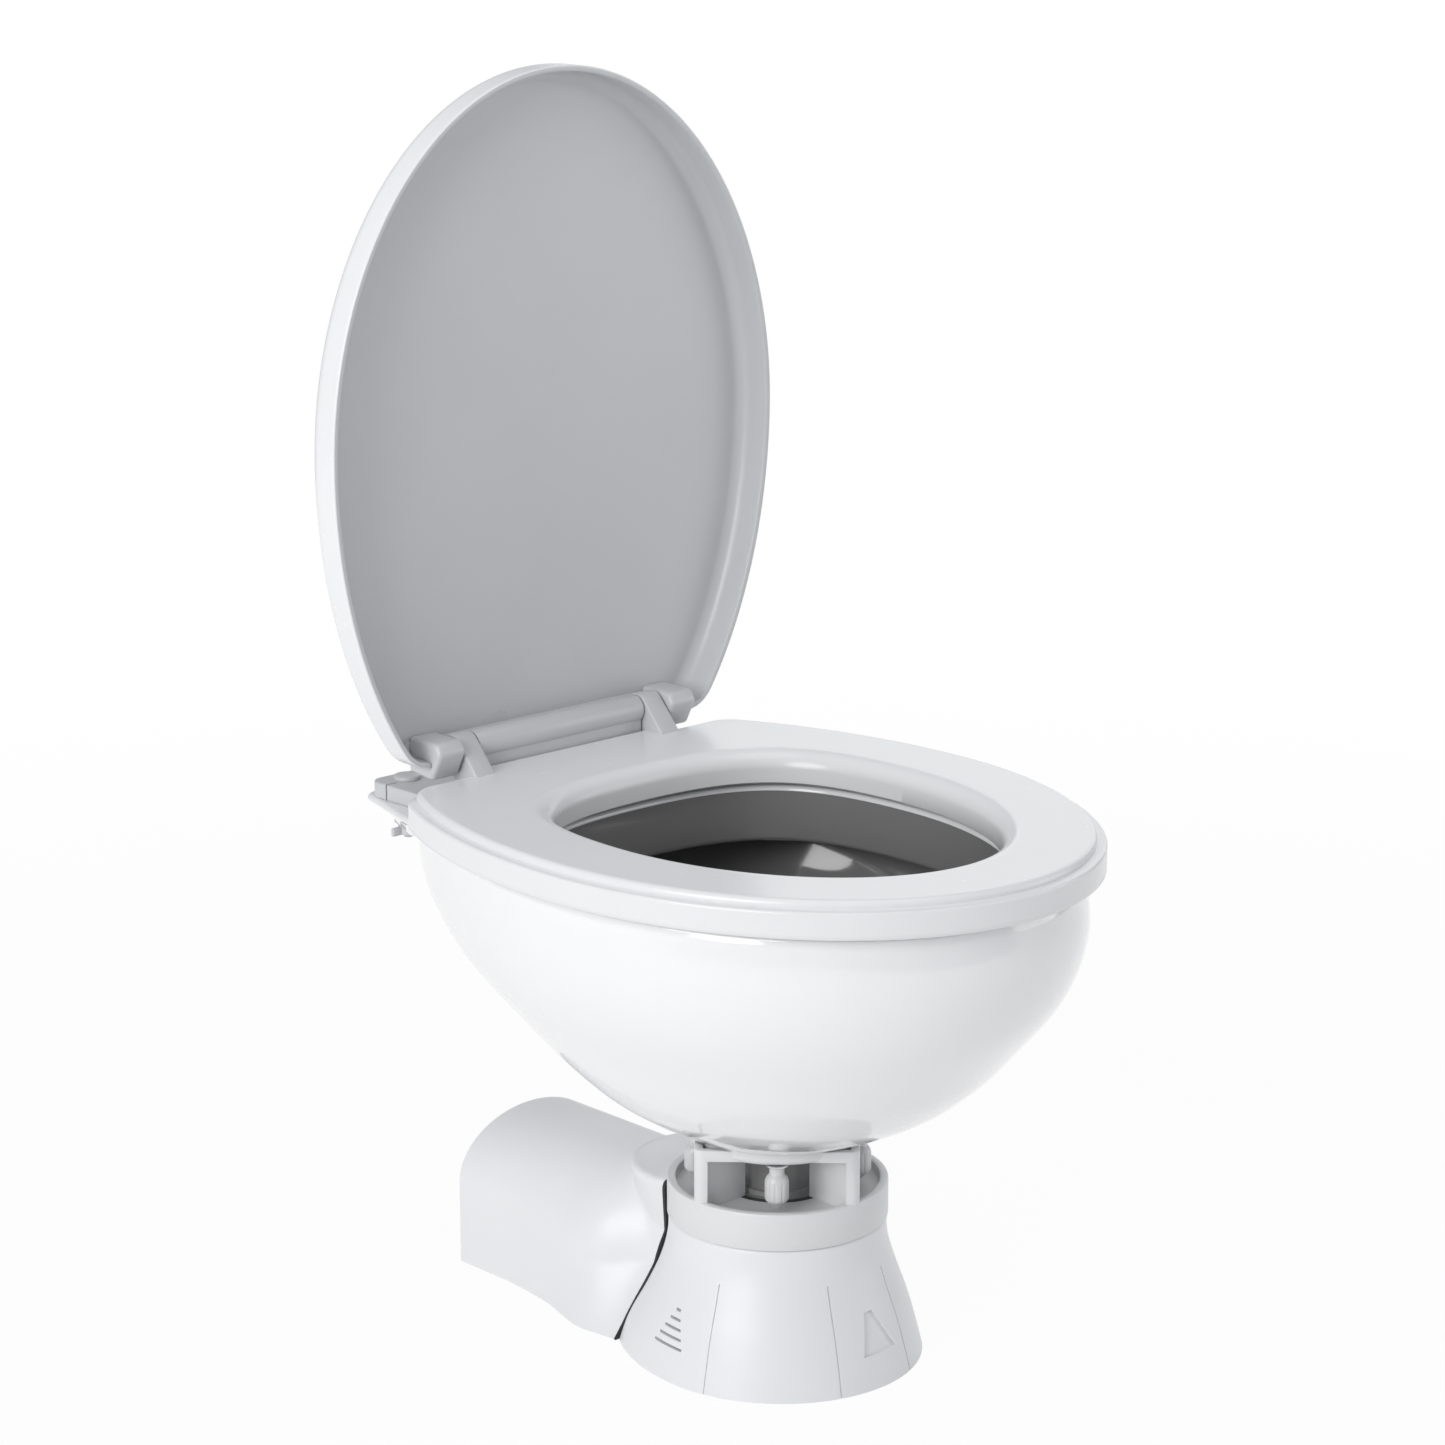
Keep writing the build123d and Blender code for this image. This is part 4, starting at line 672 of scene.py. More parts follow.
def makeSeat():
    s = seatSize
    low, band, top, step, skin = (s[k] for k in ("low", "band", "top", "step", "skin"))
    mid = np.array((0, s["widestY"]))
    angles = evenAngles(seatOutline(step), s["rays"], mid)

    def outer(inset, z):
        return lift(rayRing(seatOutline(inset), angles, mid), z)

    def inner(margin, z):
        return throatRing(angles, margin, z)

    rings = [outer(s["foot"], low), outer(s["footSoft"], low), outer(0, low + s["footSoft"])]
    rings += [outer(0, z) for z in np.linspace(low + 3, band - s["bandRound"] - 1, 4)]
    rings += roundOver(outer, 0, band, s["bandRound"], 5)
    rings += [outer(step - 0.6, band), outer(step, band + 0.5)]
    rings += roundOver(outer, step, top, s["slabRound"], 7)
    flat, edge = outer(step + s["slabRound"] + 0.4, top), inner(s["throatRound"] + 0.4, top)
    rings += [flat * (1 - share) + edge * share for share in (0, 0.25, 0.5, 0.75, 1)]
    rings += roundOver(inner, 0, top, s["throatRound"], 12)[::-1]
    # the hollow underside
    rings += [inner(0, low + 1), inner(1, low), inner(skin, low), inner(skin + 1, low + 1),
              inner(skin + 6, low + 10), outer(step + skin + 1, low + 14), outer(step + skin, low + 1)]
    body = ringObject("seatBody", rings, closed=True, sharp=45)
    half, root = s["tongueHalf"], s["rearY"] - s["tongueRoot"]
    tongue = boxPiece("seatTongue", (-half, root, s["tongueLow"]), (half, s["tongueY"], top - 0.02))
    bevelEdges(tongue, s["tongueSoft"])
    return joinAll("seatRing", [body, tongue, makeArm(-1), makeArm(1)])


def makeArm(side):
    # one arm: the hull of the ring round the pin and the tongue's rear end, with a bore for the pin
    s = seatSize
    back, root = s["tongueY"], s["tongueY"] - s["armRoot"]
    corners = [(y, z) for y in (root, back) for z in (s["tongueLow"], s["top"])]
    points = [Vector(p) for p in (*ringAt(fullTurn(96), s["armRadius"], pinAt[1:]), *corners)]
    outline = [points[i] for i in convex_hull_2d(points)]
    low, high = onSide(side, s["armInner"], s["armInner"] + s["armWidth"])
    arm = bevelEdges(prism("seatArm", outline, low, high, sideways), s["armSoft"])
    more = s["cutMore"]
    cutWith(arm, [rod("armHole", s["armBore"], low - more, high + more, alongX(*pinAt))])
    return inPaintedShadeSlot(finishMesh(arm))


# the seat's arms take the hinge's grey as painted shade, the shadow of the open lid
dress(makeSeat(), (seatPlastic, hingePlastic), "seat", "seat")
print("seat made")


lidSize = {
    "half": 165.0, "front": -194.5, "rear": 256.93, "widestY": 14.0, "tailY": 194.0, "corner": 14.0,
    "leastCorner": 2.5, "rim": 320.0, "top": 344.0, "skin": 3.0, "wall": 3.5, "round": 11.0,
    "innerRound": 8.0, "edge": 0.8, "edgeSoft": 0.25, "outerSteps": (330, 326, 322.5),
    "innerSteps": (323, 327, 330.5), "middleShares": (0.8, 0.55, 0.3, 0.1), "rays": 520,
    "notchHalf": 66.05, "notchY": 186.5, "wallHalf": 100.05, "wallY": 177.0, "cutY": 200.0, "cutMore": 3.0,
    "lugInner": 79.55, "lugWidth": 19.5, "lugSoft": 2.6,
    "boreRadius": 3.25, "boreFrom": 77.55, "boreEnd": 94.05,
    "lugProfile": [(179.4, 341.4), (179.4, 316.4), (185.4, 312.4), (201.8, 320.4), (200.0, 341.4)],
    "openAngle": 89.2,
}


def makeLid():
    # the lid is built closed and then turned open about the pin
    s = lidSize
    rim, top, wall, edge, soft = (s[k] for k in ("rim", "top", "wall", "edge", "edgeSoft"))
    mid = np.array((0, s["widestY"]))

    def outline(inset):
        egg = eggOutline(s["half"] - inset, s["front"] + inset, s["rear"] - inset, s["widestY"])
        return cutRear(egg, s["tailY"] - inset, max(s["corner"] - inset, s["leastCorner"]))
    angles = evenAngles(outline(0), s["rays"], mid)

    def plan(inset, z):
        return lift(rayRing(outline(inset), angles, mid), z)

    def toMiddle(inset, z):
        ring = rayRing(outline(inset), angles, mid)
        return [lift(mid + (ring - mid) * share, z) for share in s["middleShares"]]

    under = top - s["skin"]
    rings = toMiddle(s["round"], top)[::-1]
    rings += roundOver(plan, 0, top, s["round"], 12)[::-1]
    rings += [plan(0, z) for z in (*s["outerSteps"], rim + edge)]
    # from here on, the skirt's inner side and the underside take the second material, the painted shade
    inside = len(rings) + 1
    rings += [plan(inset, rim + up) for inset, up in (
        (soft, soft), (edge, 0), (wall - edge, 0), (wall - soft, soft), (wall, edge))]
    rings += [plan(wall, z) for z in s["innerSteps"]]
    rings += roundOver(plan, wall, under, s["innerRound"], 12)
    rings += toMiddle(wall + s["innerRound"], under)
    shell = ringObject("lidShell", rings, caps=True, sharp=45, paintedShadeFrom=inside)
    low, rear = rim - s["cutMore"], s["cutY"]
    notch = boxPiece("notch", (-s["notchHalf"], s["notchY"], low), (s["notchHalf"], rear, top + s["cutMore"]))
    relief = boxPiece("relief", (-s["wallHalf"], s["wallY"], low), (s["wallHalf"], rear, under))
    pieces = [cutWith(shell, [notch, relief])]
    for side in (-1, 1):
        reach = onSide(side, s["lugInner"], s["lugInner"] + s["lugWidth"])
        lug = bevelEdges(prism("lidLug", s["lugProfile"], *reach, sideways), s["lugSoft"], 5)
        bore = onSide(side, s["boreFrom"], s["boreEnd"])
        cutWith(lug, [rod("lugBore", s["boreRadius"], *bore, alongX(*pinAt))])
        # the lugs take the painted-shade grey too
        pieces.append(finishMesh(inPaintedShadeSlot(lug), 50))
    lid = joinAll("lidCover", pieces)
    lid.data.transform(moved(*pinAt) @ turned(-s["openAngle"], "X") @ moved(*pinAt).inverted())
    return finishMesh(lid, 45, False)


dress(makeLid(), (lidPlastic, lidInside), "lid", "lid")
print("lid made")


hingeSize = {
    "half": 97.05, "front": 178.0, "rear": 241.0, "low": 294.0, "top": 303.5, "corner": 8.0, "soft": 0.9,
    "webHalf": 63.55, "webFront": 182.5, "webBack": 188.5, "webSoft": 0.8, "barrelRadius": 8.3, "bore": 3.22,
    "boltX": 79.05, "boltY": 228.0, "boltHole": 3.4, "slitX": 88.5, "slitY": 224.0, "slitWidth": 1.4,
    "cutMore": 1.0,
}


def makeHinge():
    s = hingeSize
    low, top, more = s["low"], s["top"], s["cutMore"]
    plate = prism("hingePlate", roundedBox(s["half"], s["front"], s["rear"], s["corner"]), low, top)
    bevelEdges(plate, s["soft"], 4, 60)
    cutters = []
    for side in (-1, 1):
        place = moved(side * s["boltX"], s["boltY"], 0)
        cutters.append(rod("boltHole", s["boltHole"], low - more, top + more, place, 32))
        near, far = onSide(side, s["slitX"], s["half"] + more)
        front, back = s["slitY"], s["slitY"] + s["slitWidth"]
        cutters.append(boxPiece("slit", (near, front, low - more), (far, back, top + more)))
    cutWith(plate, cutters)
    half = s["webHalf"]
    web = boxPiece("hingeWeb", (-half, s["webFront"], top - 2), (half, s["webBack"], pinAt[2]))
    bevelEdges(web, s["webSoft"])
    r = s["barrelRadius"]
    end = [(r - 1, half), (r - 0.3, half - 0.3), (r, half - 1)]
    profile = [(s["bore"], -half), *[(x, -z) for x, z in end], *end[::-1], (s["bore"], half)]
    barrel = lathe("hingeBarrel", profile, alongX(*pinAt), 80)
    return finishMesh(joinAll("hingeBracket", [plate, web, barrel]), 40, False)


dress(makeHinge(), hingePlastic, "root", "hinge_base")
print("hinge made")


supportSize = {
    "collarRadius": 62.5, "collarInner": 57.5, "low": 81.0, "rim": 102.5, "floorLow": 92.0, "floor": 97.0,
    "socket": 30.02, "seal": 26.5, "towerHalf": 45.8, "towerCorner": 5.0, "wall": 5.0, "post": 7.8,
    "web": 3.0, "webSoft": 0.5, "soft": 0.7, "sink": 0.5, "cutMore": 3.0,
    "frame": 126.5, "top": 134.0, "flange": 52.0, "bore": 34.0, "flangeRound": 3.75,
    "pedestal": 55.0, "pedestalInner": 51.0, "pedestalLow": 5.0, "gateY": 14.0, "gateHalf": 90.0,
    "bossRadius": 5.0, "bossBore": 2.0, "bossCircle": 49.0, "bossAngle": 32.0,
}


def makeTower():
    # a square tower with four windows, turned by an eighth, and a web in each corner
    s = supportSize
    half, floor, low = s["towerHalf"], s["floor"], s["floor"] - s["cutMore"]
    room, window = half - s["wall"], half - s["post"]
    outline = roundedBox(half, -half, half, s["towerCorner"], 10)
    tower = prism("tower", outline, floor - s["sink"], s["top"] - 1)
    cutWith(tower, [
        boxPiece("room", (-room, -room, low), (room, room, s["top"] + s["cutMore"])),
        boxPiece("windowX", (-2 * half, -window, low), (2 * half, window, s["frame"])),
        boxPiece("windowY", (-window, -2 * half, low), (window, 2 * half, s["frame"])),
    ])
    tower.data.transform(turned(45, "Z"))
    pieces = [bevelEdges(tower, s["soft"], 3, 40)]
    reach, thin = half * math.sqrt(2) - s["towerCorner"], s["web"] / 2
    for quarter in range(4):
        web = boxPiece("web", (s["seal"], -thin, floor - s["sink"]), (reach, thin, s["frame"] + 2))
        bevelEdges(web, s["webSoft"])
        web.data.transform(turned(90 * quarter, "Z"))
        pieces.append(web)
    return pieces


def makeSupport():
    s = supportSize
    e, inner, outer, socket = s["soft"], s["collarInner"], s["collarRadius"], s["socket"]
    low, rim, floor, under = s["low"], s["rim"], s["floor"], s["floorLow"]
    collar = lathe("collar", [
        (socket, under), (inner - 1, under), (inner, under - 1), (inner, low),
        (outer - e, low), (outer - e * 0.3, low + e * 0.3), (outer, low + e),
        (outer, rim - 1.2), (outer - 0.35, rim - 0.35), (outer - 1.2, rim),
        (inner + 1.0, rim), (inner + 0.3, rim - 0.3), (inner, rim - 1.0),
        (inner, floor + 2), (inner - 0.6, floor + 0.6), (inner - 2, floor),
        (socket + 0.5, floor), (socket, floor - 0.5)], steps=180)
    tower = makeTower()
    r, low, k, top = s["flange"], s["frame"], s["flangeRound"], s["top"]
    edge = [(r - k * down, low + k * out) for out, down in quarterTurn(8)]
    profile = [(s["bore"], low), *edge, (r, top - 0.6), (r - 0.6, top), (s["bore"], top)]
    flange = lathe("flange", profile, steps=160)
    foot, ceiling, far = s["pedestalLow"], under + s["sink"], s["gateHalf"]
    pedestal = tube("pedestal", s["pedestalInner"], s["pedestal"], foot, ceiling, steps=120)
    cutWith(pedestal, [boxPiece("gate", (-far, s["gateY"], 0), (far, far, under - 0.01))])
    bosses = []
    for side in (-1, 1):
        a = math.radians(-90 + side * s["bossAngle"])
        place = moved(math.cos(a) * s["bossCircle"], math.sin(a) * s["bossCircle"], 0)
        bosses.append(tube("boss", s["bossBore"], s["bossRadius"], foot, ceiling, place, 32))
    return finishMesh(joinAll("neckSupport", [collar, *tower, flange, pedestal, *bosses]), 40, False)


dress(makeSupport(), supportPlastic, "root", "bowl_support")
print("support made")


bellSize = {
    "top": 61.5, "foot": (82.0, 83.7, 101.0), "height": 81.0, "wall": 3.0, "topGap": 0.5, "topRound": 1.6,
    "hole": 55.4,
    # share of the height, then shares of the way from the top radius out to the foot's three
    "rows": [(0, 1, 1, 1), (.167, .840, .838, .821), (.395, .592, .582, .391), (.617, .288, .276, .138),
             (.840, .040, .039, .018), (1, 0, 0, 0)],
    "seamFoot": 65.0, "seamTop": 45.0, "seamHeight": 100.0, "seamBlock": 400.0,
    "lines": (-74.0, -19.0, 19.0, 74.0), "lineHeight": 59.0, "lineWidth": 0.9, "lineDepth": 0.8,
    "lineReach": 75.0, "lineOut": 1.5, "lineLow": -2.0,
    "louvreLow": 18.2, "louvrePitch": 5.0, "louvreSlot": 1.6, "louvres": 5, "louvreFront": -3.0,
    "louvreLongest": 24.0, "louvreStep": 5.0, "louvreLean": 1.7, "louvreEnd": 0.98, "louvreReach": (41, 90),
    "niche": [(-9.0, 18.0), (17.5, 18.0), (4.0, 41.0), (-2.5, 41.0)],
    "nicheDepth": 2.0, "nicheReach": (40, 95), "nicheCore": (4, 60),
}
bellAngles = np.linspace(-np.pi, np.pi, 360, endpoint=False)


def bellRing(z, inset, angles=bellAngles):
    s = bellSize
    top, shares = s["top"], sharesAt(s["rows"], min(max(z / s["height"], 0), 1))
    half, front, rear = (top + (foot - top) * share - inset for foot, share in zip(s["foot"], shares))
    return lift(rayRing(eggOutline(half, -front, rear, 0), angles, np.zeros(2)), z)


def panelLine(angle):
    # a cutter that follows the bell's skin from the foot up
    s = bellSize
    a = math.radians(angle - 90)
    spread = s["lineWidth"] / 2 / s["lineReach"]
    strip = []
    for z in np.linspace(s["lineLow"], s["lineHeight"], 40):
        near = bellRing(max(z, 0), s["lineDepth"], np.array([a - spread, a, a + spread]))
        far = bellRing(max(z, 0), -s["lineOut"], np.array([a - spread, a + spread]))
        strip.append(lift(np.vstack([far, near[::-1]])[:, :2], z))
    return ringObject("panelLine", strip, caps=True)


def louvre(side, number):
    s = bellSize
    r, length = s["louvreSlot"] / 2, s["louvreLongest"] - s["louvreStep"] * number
    y = s["louvreFront"] + s["louvreLean"] * number + length / 2
    z = s["louvreLow"] + s["louvrePitch"] * number + r
    outline = roundedBox(length / 2, -r, r, r * s["louvreEnd"], 6)
    return prism("louvre", outline, *onSide(side, *s["louvreReach"]), moved(0, y, z) @ sideways)


def makeBell():
    s = bellSize
    top, under = s["height"] - s["topGap"], s["height"] - s["wall"]
    rings = [bellRing(z, 0) for z in np.linspace(0, top - s["topRound"], 56)]
    rings += roundOver(lambda inset, z: lift(bellRing(top, inset)[:, :2], z), 0, top, s["topRound"], 5)[1:]
    rings += [lift(ringAt(bellAngles, s["hole"], 0), z) for z in (top, under)]
    rings += [bellRing(z, s["wall"]) for z in np.linspace(under, 0, 40)]
    bell = ringObject("bellSkirt", rings, closed=True, sharp=45)
    # all that lies behind the slanting seam goes
    far = s["seamBlock"]
    slope = math.atan2(s["seamFoot"] - s["seamTop"], s["seamHeight"])
    block = boxPiece("seamBlock", (-far, 0, -far), (far, far, far))
    block.data.transform(moved(0, s["seamFoot"], 0) @ Matrix.Rotation(slope, 4, "X"))
    cutters = [block] + [panelLine(angle) for angle in s["lines"]]
    cutters += [louvre(side, number) for side in (-1, 1) for number in range(s["louvres"])]
    # the niche keeps a floor of the bell's own form
    niche = prism("niche", s["niche"], *s["nicheReach"], turned(90, "X"))
    core = [bellRing(z, s["nicheDepth"]) for z in np.linspace(*s["nicheCore"], 40)]
    cutters.append(cutWith(niche, [ringObject("nicheCore", core, caps=True)]))
    return finishMesh(cutWith(bell, cutters), 32)


dress(makeBell(), shroudPlastic, "root", "bell_shroud")
print("bell made")


coverSize = {
    "end": 216.0, "half": 55.5, "top": 90.5, "wall": 3.0, "voxel": 1.6, "smooth": 14, "more": 8.0,
    # share of the length, then the floor's and the wall's half width and the wall's and the roof's height
    "rows": [(.20, 1.19, .72, .50, .93), (.30, 1.17, .76, .46, .98), (.43, 1.235, 1.03, .42, 1.0),
             (.615, 1.063, 1.04, .42, 1.0), (.76, 1.0, .99, .50, .995), (1.0, 1.0, 1.0, .56, .975)],
    "shoulder": [(34.0, 52.0), (45.2, 94.0), (44.6, 95.8), (43.2, 96.8), (41.6, 97.0)], "shoulderY": 57.0,
    "collar": 62.9, "collarReach": (-20, 200), "sealGap": 0.1, "seal": 1.8, "sealProud": 0.25,
    "holes": [(29.0, 26.0, 19.65), (-30.0, 66.0, 7.05), (-32.0, 12.0, 2.05), (0.0, 12.0, 2.05)],
    "holeReach": 12.0,
}


def coverForm():
    # the whole smooth outer form of bell, shoulder and housing, open below and behind
    s = coverSize
    sizes = (s["half"], s["half"], s["top"], s["top"])
    rings = []
    for share in np.linspace(s["rows"][0][0], 1.0, 60):
        floorHalf, wallHalf, wallZ, topZ = np.array(sharesAt(s["rows"], share)) * sizes
        arch = [(wallHalf * math.cos(a), wallZ + (topZ - wallZ) * math.sin(a))
                for a in np.linspace(0, math.pi, 73)]
        left = [(-(floorHalf + (wallHalf - floorHalf) * z / wallZ), z)
                for z in np.linspace(wallZ, -s["more"], 24)[1:]]
        section = np.array(arch + left + [(-x, z) for x, z in left[::-1]])
        rings.append(np.c_[section[:, 0], np.full(len(section), s["end"] * share), section[:, 1]])
    beyond = rings[-1] + (0, s["more"], 0)
    housing = ringObject("housing", rings + [beyond], caps=True)
    foot = lift(bellRing(0, 0)[:, :2], -s["more"])
    skirt = [foot] + [bellRing(z, 0) for z in np.linspace(0, bellSize["height"], 40)]
    cone = [lift(ringAt(fullTurn(128), r, (0, s["shoulderY"])), z) for r, z in s["shoulder"]]
    form = joinAll("coverForm", [housing, ringObject("bellSolid", skirt, caps=True),
                                 ringObject("shoulder", cone, caps=True)])
    grid = form.modifiers.new("grid", "REMESH")
    grid.mode, grid.voxel_size = "VOXEL", s["voxel"] * mm
    soft = form.modifiers.new("soft", "SMOOTH")
    soft.factor, soft.iterations = 0.5, s["smooth"]
    return applyModifiers(form)


def cutAway(bm, place, normal):
    geometry = bm.verts[:] + bm.edges[:] + bm.faces[:]
    return bmesh.ops.bisect_plane(bm, geom=geometry, dist=1e-7, plane_co=Vector(place) * mm,
                                  plane_no=Vector(normal), clear_outer=True)["geom_cut"]


def shellOf(source, name, proud, front, back, wall):
    # the part of the form between two offsets of the seam plane, as a closed shell
    b = bellSize
    bm = bmesh.new()
    bm.from_mesh(source.data)
    if proud:
        for v in bm.verts:
            v.normal_update()
        for v, step in [(v, v.normal * proud * mm) for v in bm.verts]:
            v.co += step
    lean = Vector((0, 1, (b["seamFoot"] - b["seamTop"]) / b["seamHeight"])).normalized()
    cutAway(bm, (0, 0, 0), (0, 0, -1))
    cutAway(bm, (0, b["seamFoot"] + front, 0), -lean)
    if back is None:
        rim = cutAway(bm, (0, coverSize["end"], 0), (0, 1, 0))
        bmesh.ops.contextual_create(bm, geom=[e for e in rim if isinstance(e, bmesh.types.BMEdge)])
    else:
        cutAway(bm, (0, b["seamFoot"] + back, 0), lean)
    shell = meshObject(name, bm)
    thick = shell.modifiers.new("wall", "SOLIDIFY")
    thick.thickness, thick.offset, thick.use_rim = wall * mm, -1, True
    applyModifiers(shell)
    for v in shell.data.vertices:
        v.co.z = max(v.co.z, 0.0)
    return cutWith(shell, [rod("collarRoom", coverSize["collar"], *coverSize["collarReach"], steps=180)])


def makeCover():
    s = coverSize
    form = coverForm()
    near, far = s["sealGap"], s["sealGap"] + s["seal"]
    cover = shellOf(form, "motorHood", 0, far + s["sealGap"], None, s["wall"])
    reach = s["holeReach"]
    cutWith(cover, [rod("hoodHole", r, -reach, reach, moved(x, s["end"], z) @ turned(-90, "X"))
                    for x, z, r in s["holes"]])
    seal = shellOf(form, "seamSeal", s["sealProud"], near, far, s["wall"] + s["sealProud"])
    bpy.data.objects.remove(form)
    return finishMesh(cover, 40), finishMesh(seal, 40)


cover, seal = makeCover()
dress(cover, shroudPlastic, "root", "motor_cover")
dress(seal, blackRubber, "root", "cover_seal")
print("cover made")


def repeatTree():
    # puts one piece at every vertex of its object's mesh, each turned by its own seeded angle
    tree = bpy.data.node_groups.new("piecesAtPoints", "GeometryNodeTree")
    tree.is_modifier = True
    sockets = {"Points": "Geometry", "Piece": "Object", "Turn": "Vector", "Seed": "Int", "Finish": "Material"}
    for name, kind in sockets.items():
        tree.interface.new_socket(name, in_out="INPUT", socket_type="NodeSocket" + kind)
    tree.interface.new_socket("Pieces", in_out="OUTPUT", socket_type="NodeSocketGeometry")
    kit = NodeKit(tree)
    given = {name: kit.node("NodeGroupInput", output=name) for name in sockets}
    piece = kit.node("GeometryNodeObjectInfo", {"transform_space": "ORIGINAL"},
                     {"Object": given["Piece"]}, "Geometry")
    spread = kit.node("FunctionNodeRandomValue", {"data_type": "FLOAT_VECTOR"},
                      {"Max": given["Turn"], "Seed": given["Seed"]})
    angle = kit.node("FunctionNodeEulerToRotation", {}, {"Euler": spread})
    points = kit.node("GeometryNodeMeshToPoints", {}, {"Mesh": given["Points"]})
    placed = kit.node("GeometryNodeInstanceOnPoints", {},
                      {"Points": points, "Instance": piece, "Rotation": angle})
    real = kit.node("GeometryNodeRealizeInstances", {}, {"Geometry": placed})
    done = kit.node("GeometryNodeSetMaterial", {}, {"Geometry": real, "Material": given["Finish"]})
    kit.feed(tree.nodes.new("NodeGroupOutput").inputs[0], done)
    return tree


repeats = repeatTree()


def repeated(name, piece, places, z, finish, node, turn=(0, 0, 0), body="root", seed=7):
    mesh = bpy.data.meshes.new(name)
    mesh.from_pydata([tuple(Vector(p) * mm) for p in lift(places, z)], [], [])
    obj = newObject(name, mesh)
    modifier = obj.modifiers.new("places", "NODES")
    modifier.node_group = repeats
    values = {"Piece": piece, "Turn": turn, "Seed": seed, "Finish": finish}
    for item in repeats.interface.items_tree:
        if item.item_type == "SOCKET" and item.name in values:
            modifier[item.identifier] = values[item.name]
    applyModifiers(obj)
    bpy.data.objects.remove(piece)
    return dress(finishMesh(obj, 35), finish, body, node)


fastenerSize = {
    "circle": 46.0, "nutLow": 100.3, "studLow": 105.3, "studHigh": 143.0, "washerLow": 125.3,
    "thread": 1.0, "threadDepth": 0.3, "rod": 3.0, "rodEnd": 0.8, "flutes": 10, "fluteDepth": 0.35,
    # the long nut: tapered tip, fluted body, dome and neck
    "nutTip": [(axisGap, 0), (1.1, 0), (1.5, 0.3), (2.4, 1.2), (4.6, 3.4), (6.2, 4.9), (6.6, 5.5)],
    "nut": 6.7, "nutBody": (6.4, 14.4, 15.0), "nutNeck": 4.2, "nutNeckLow": 20.6, "nutHigh": 25.0,
    "nutBore": 3.04, "nutBoreEnd": 5.2, "nutTurn": (0, 0, 0.6),
    "bowlWasher": [(3.1, 0), (6.3, 0), (6.5, 0.2), (6.5, 1), (6.3, 1.2), (3.1, 1.2)],
    "hingeWasher": [(3.05, 0), (7.7, 0), (8, 0.3), (8, 1.2), (7.7, 1.5), (3.05, 1.5)], "hingeWasherHigh": 1.5,
    "wingNut": [(3.02, 0), (5.5, 0), (6, 0.5), (6, 6.5), (5.5, 7), (3.02, 7)], "wingNutHigh": 7.0,
    "wing": (5.5, 11.98, 1.25, 5.0), "wingSoft": 0.8, "boltMore": 2.0, "boltHead": (8.0, 1.6),
    "buffer": [(axisGap, 0), (5.2, 0), (6.4, 0.5), (7, 1.6), (7, 5.2), (6.6, 5.6), (3, 5.6), (3, 11.4),
               (2.5, 11.6), (axisGap, 11.6)],
    "bufferPlaces": [(102.3, -95.22), (112.2, 103.5)], "bufferLow": 294.0,
}


def threaded(radius, low, high):
    # the profile of a rod with rolled thread rings, up to its last ring
    s = fastenerSize
    points = [(axisGap, low), (radius - s["rodEnd"], low), (radius - 0.1, low + 0.7)]
    z = low + 1.2
    while z < high - 1.2:
        points += [(radius - 0.02, z), (radius - s["threadDepth"], z + s["thread"] / 2)]
        z += s["thread"]
    return points


def flutedNut():
    s = fastenerSize
    r, high, (low, straight, middle) = s["nut"], s["nutHigh"], s["nutBody"]
    profile = s["nutTip"] + [(r, low), (r, straight)]
    profile += [(r * math.cos(a), middle + r * math.sin(a)) for a in np.linspace(0.03, 0.86, 8)]
    profile += [(s["nutNeck"], s["nutNeckLow"]), (s["nutNeck"], high - 0.4), (s["nutNeck"] - 0.3, high),
                (s["nutBore"], high), (s["nutBore"], s["nutBoreEnd"]), (axisGap, s["nutBoreEnd"])]
    turn = fullTurn(120)
    wave = np.clip(np.cos(turn * s["flutes"]) - 0.35, 0, 1) * 1.5
    rings = []
    for r, z in profile:
        groove = s["fluteDepth"] * max(0.0, min(1.0, (r - 5.5) * 2)) if 5 < z < 16 else 0
        rings.append(lift(ringAt(turn, r - groove * wave, 0), z))
    return ringObject("nutPiece", rings, closed=True, sharp=40)


def wingNut():
    s = fastenerSize
    near, far, thin, high = s["wing"]
    pieces = [lathe("hub", s["wingNut"])]
    for side in (-1, 1):
        left, right = onSide(side, near, far)
        pieces.append(bevelEdges(boxPiece("wing", (left, -thin, 0), (right, thin, high)), s["wingSoft"]))
    return joinAll("nutPiece", pieces)


def headedBolt(low):
    # a threaded rod under a smooth neck and a domed head, with the head's underside at zero
    s = fastenerSize
    r, (head, dome) = s["rod"], s["boltHead"]
    crown = [(head * math.cos(a), dome + dome * math.sin(a)) for a in np.linspace(0, 1.3, 8)]
    neck = [(r - 0.02, -1.0), (r - 0.02, 0), (head - 0.3, 0), (head, 0.3)]
    return lathe("boltPiece", threaded(r, low, -1.0) + neck + crown + [(axisGap, 2 * dome - 0.01)])


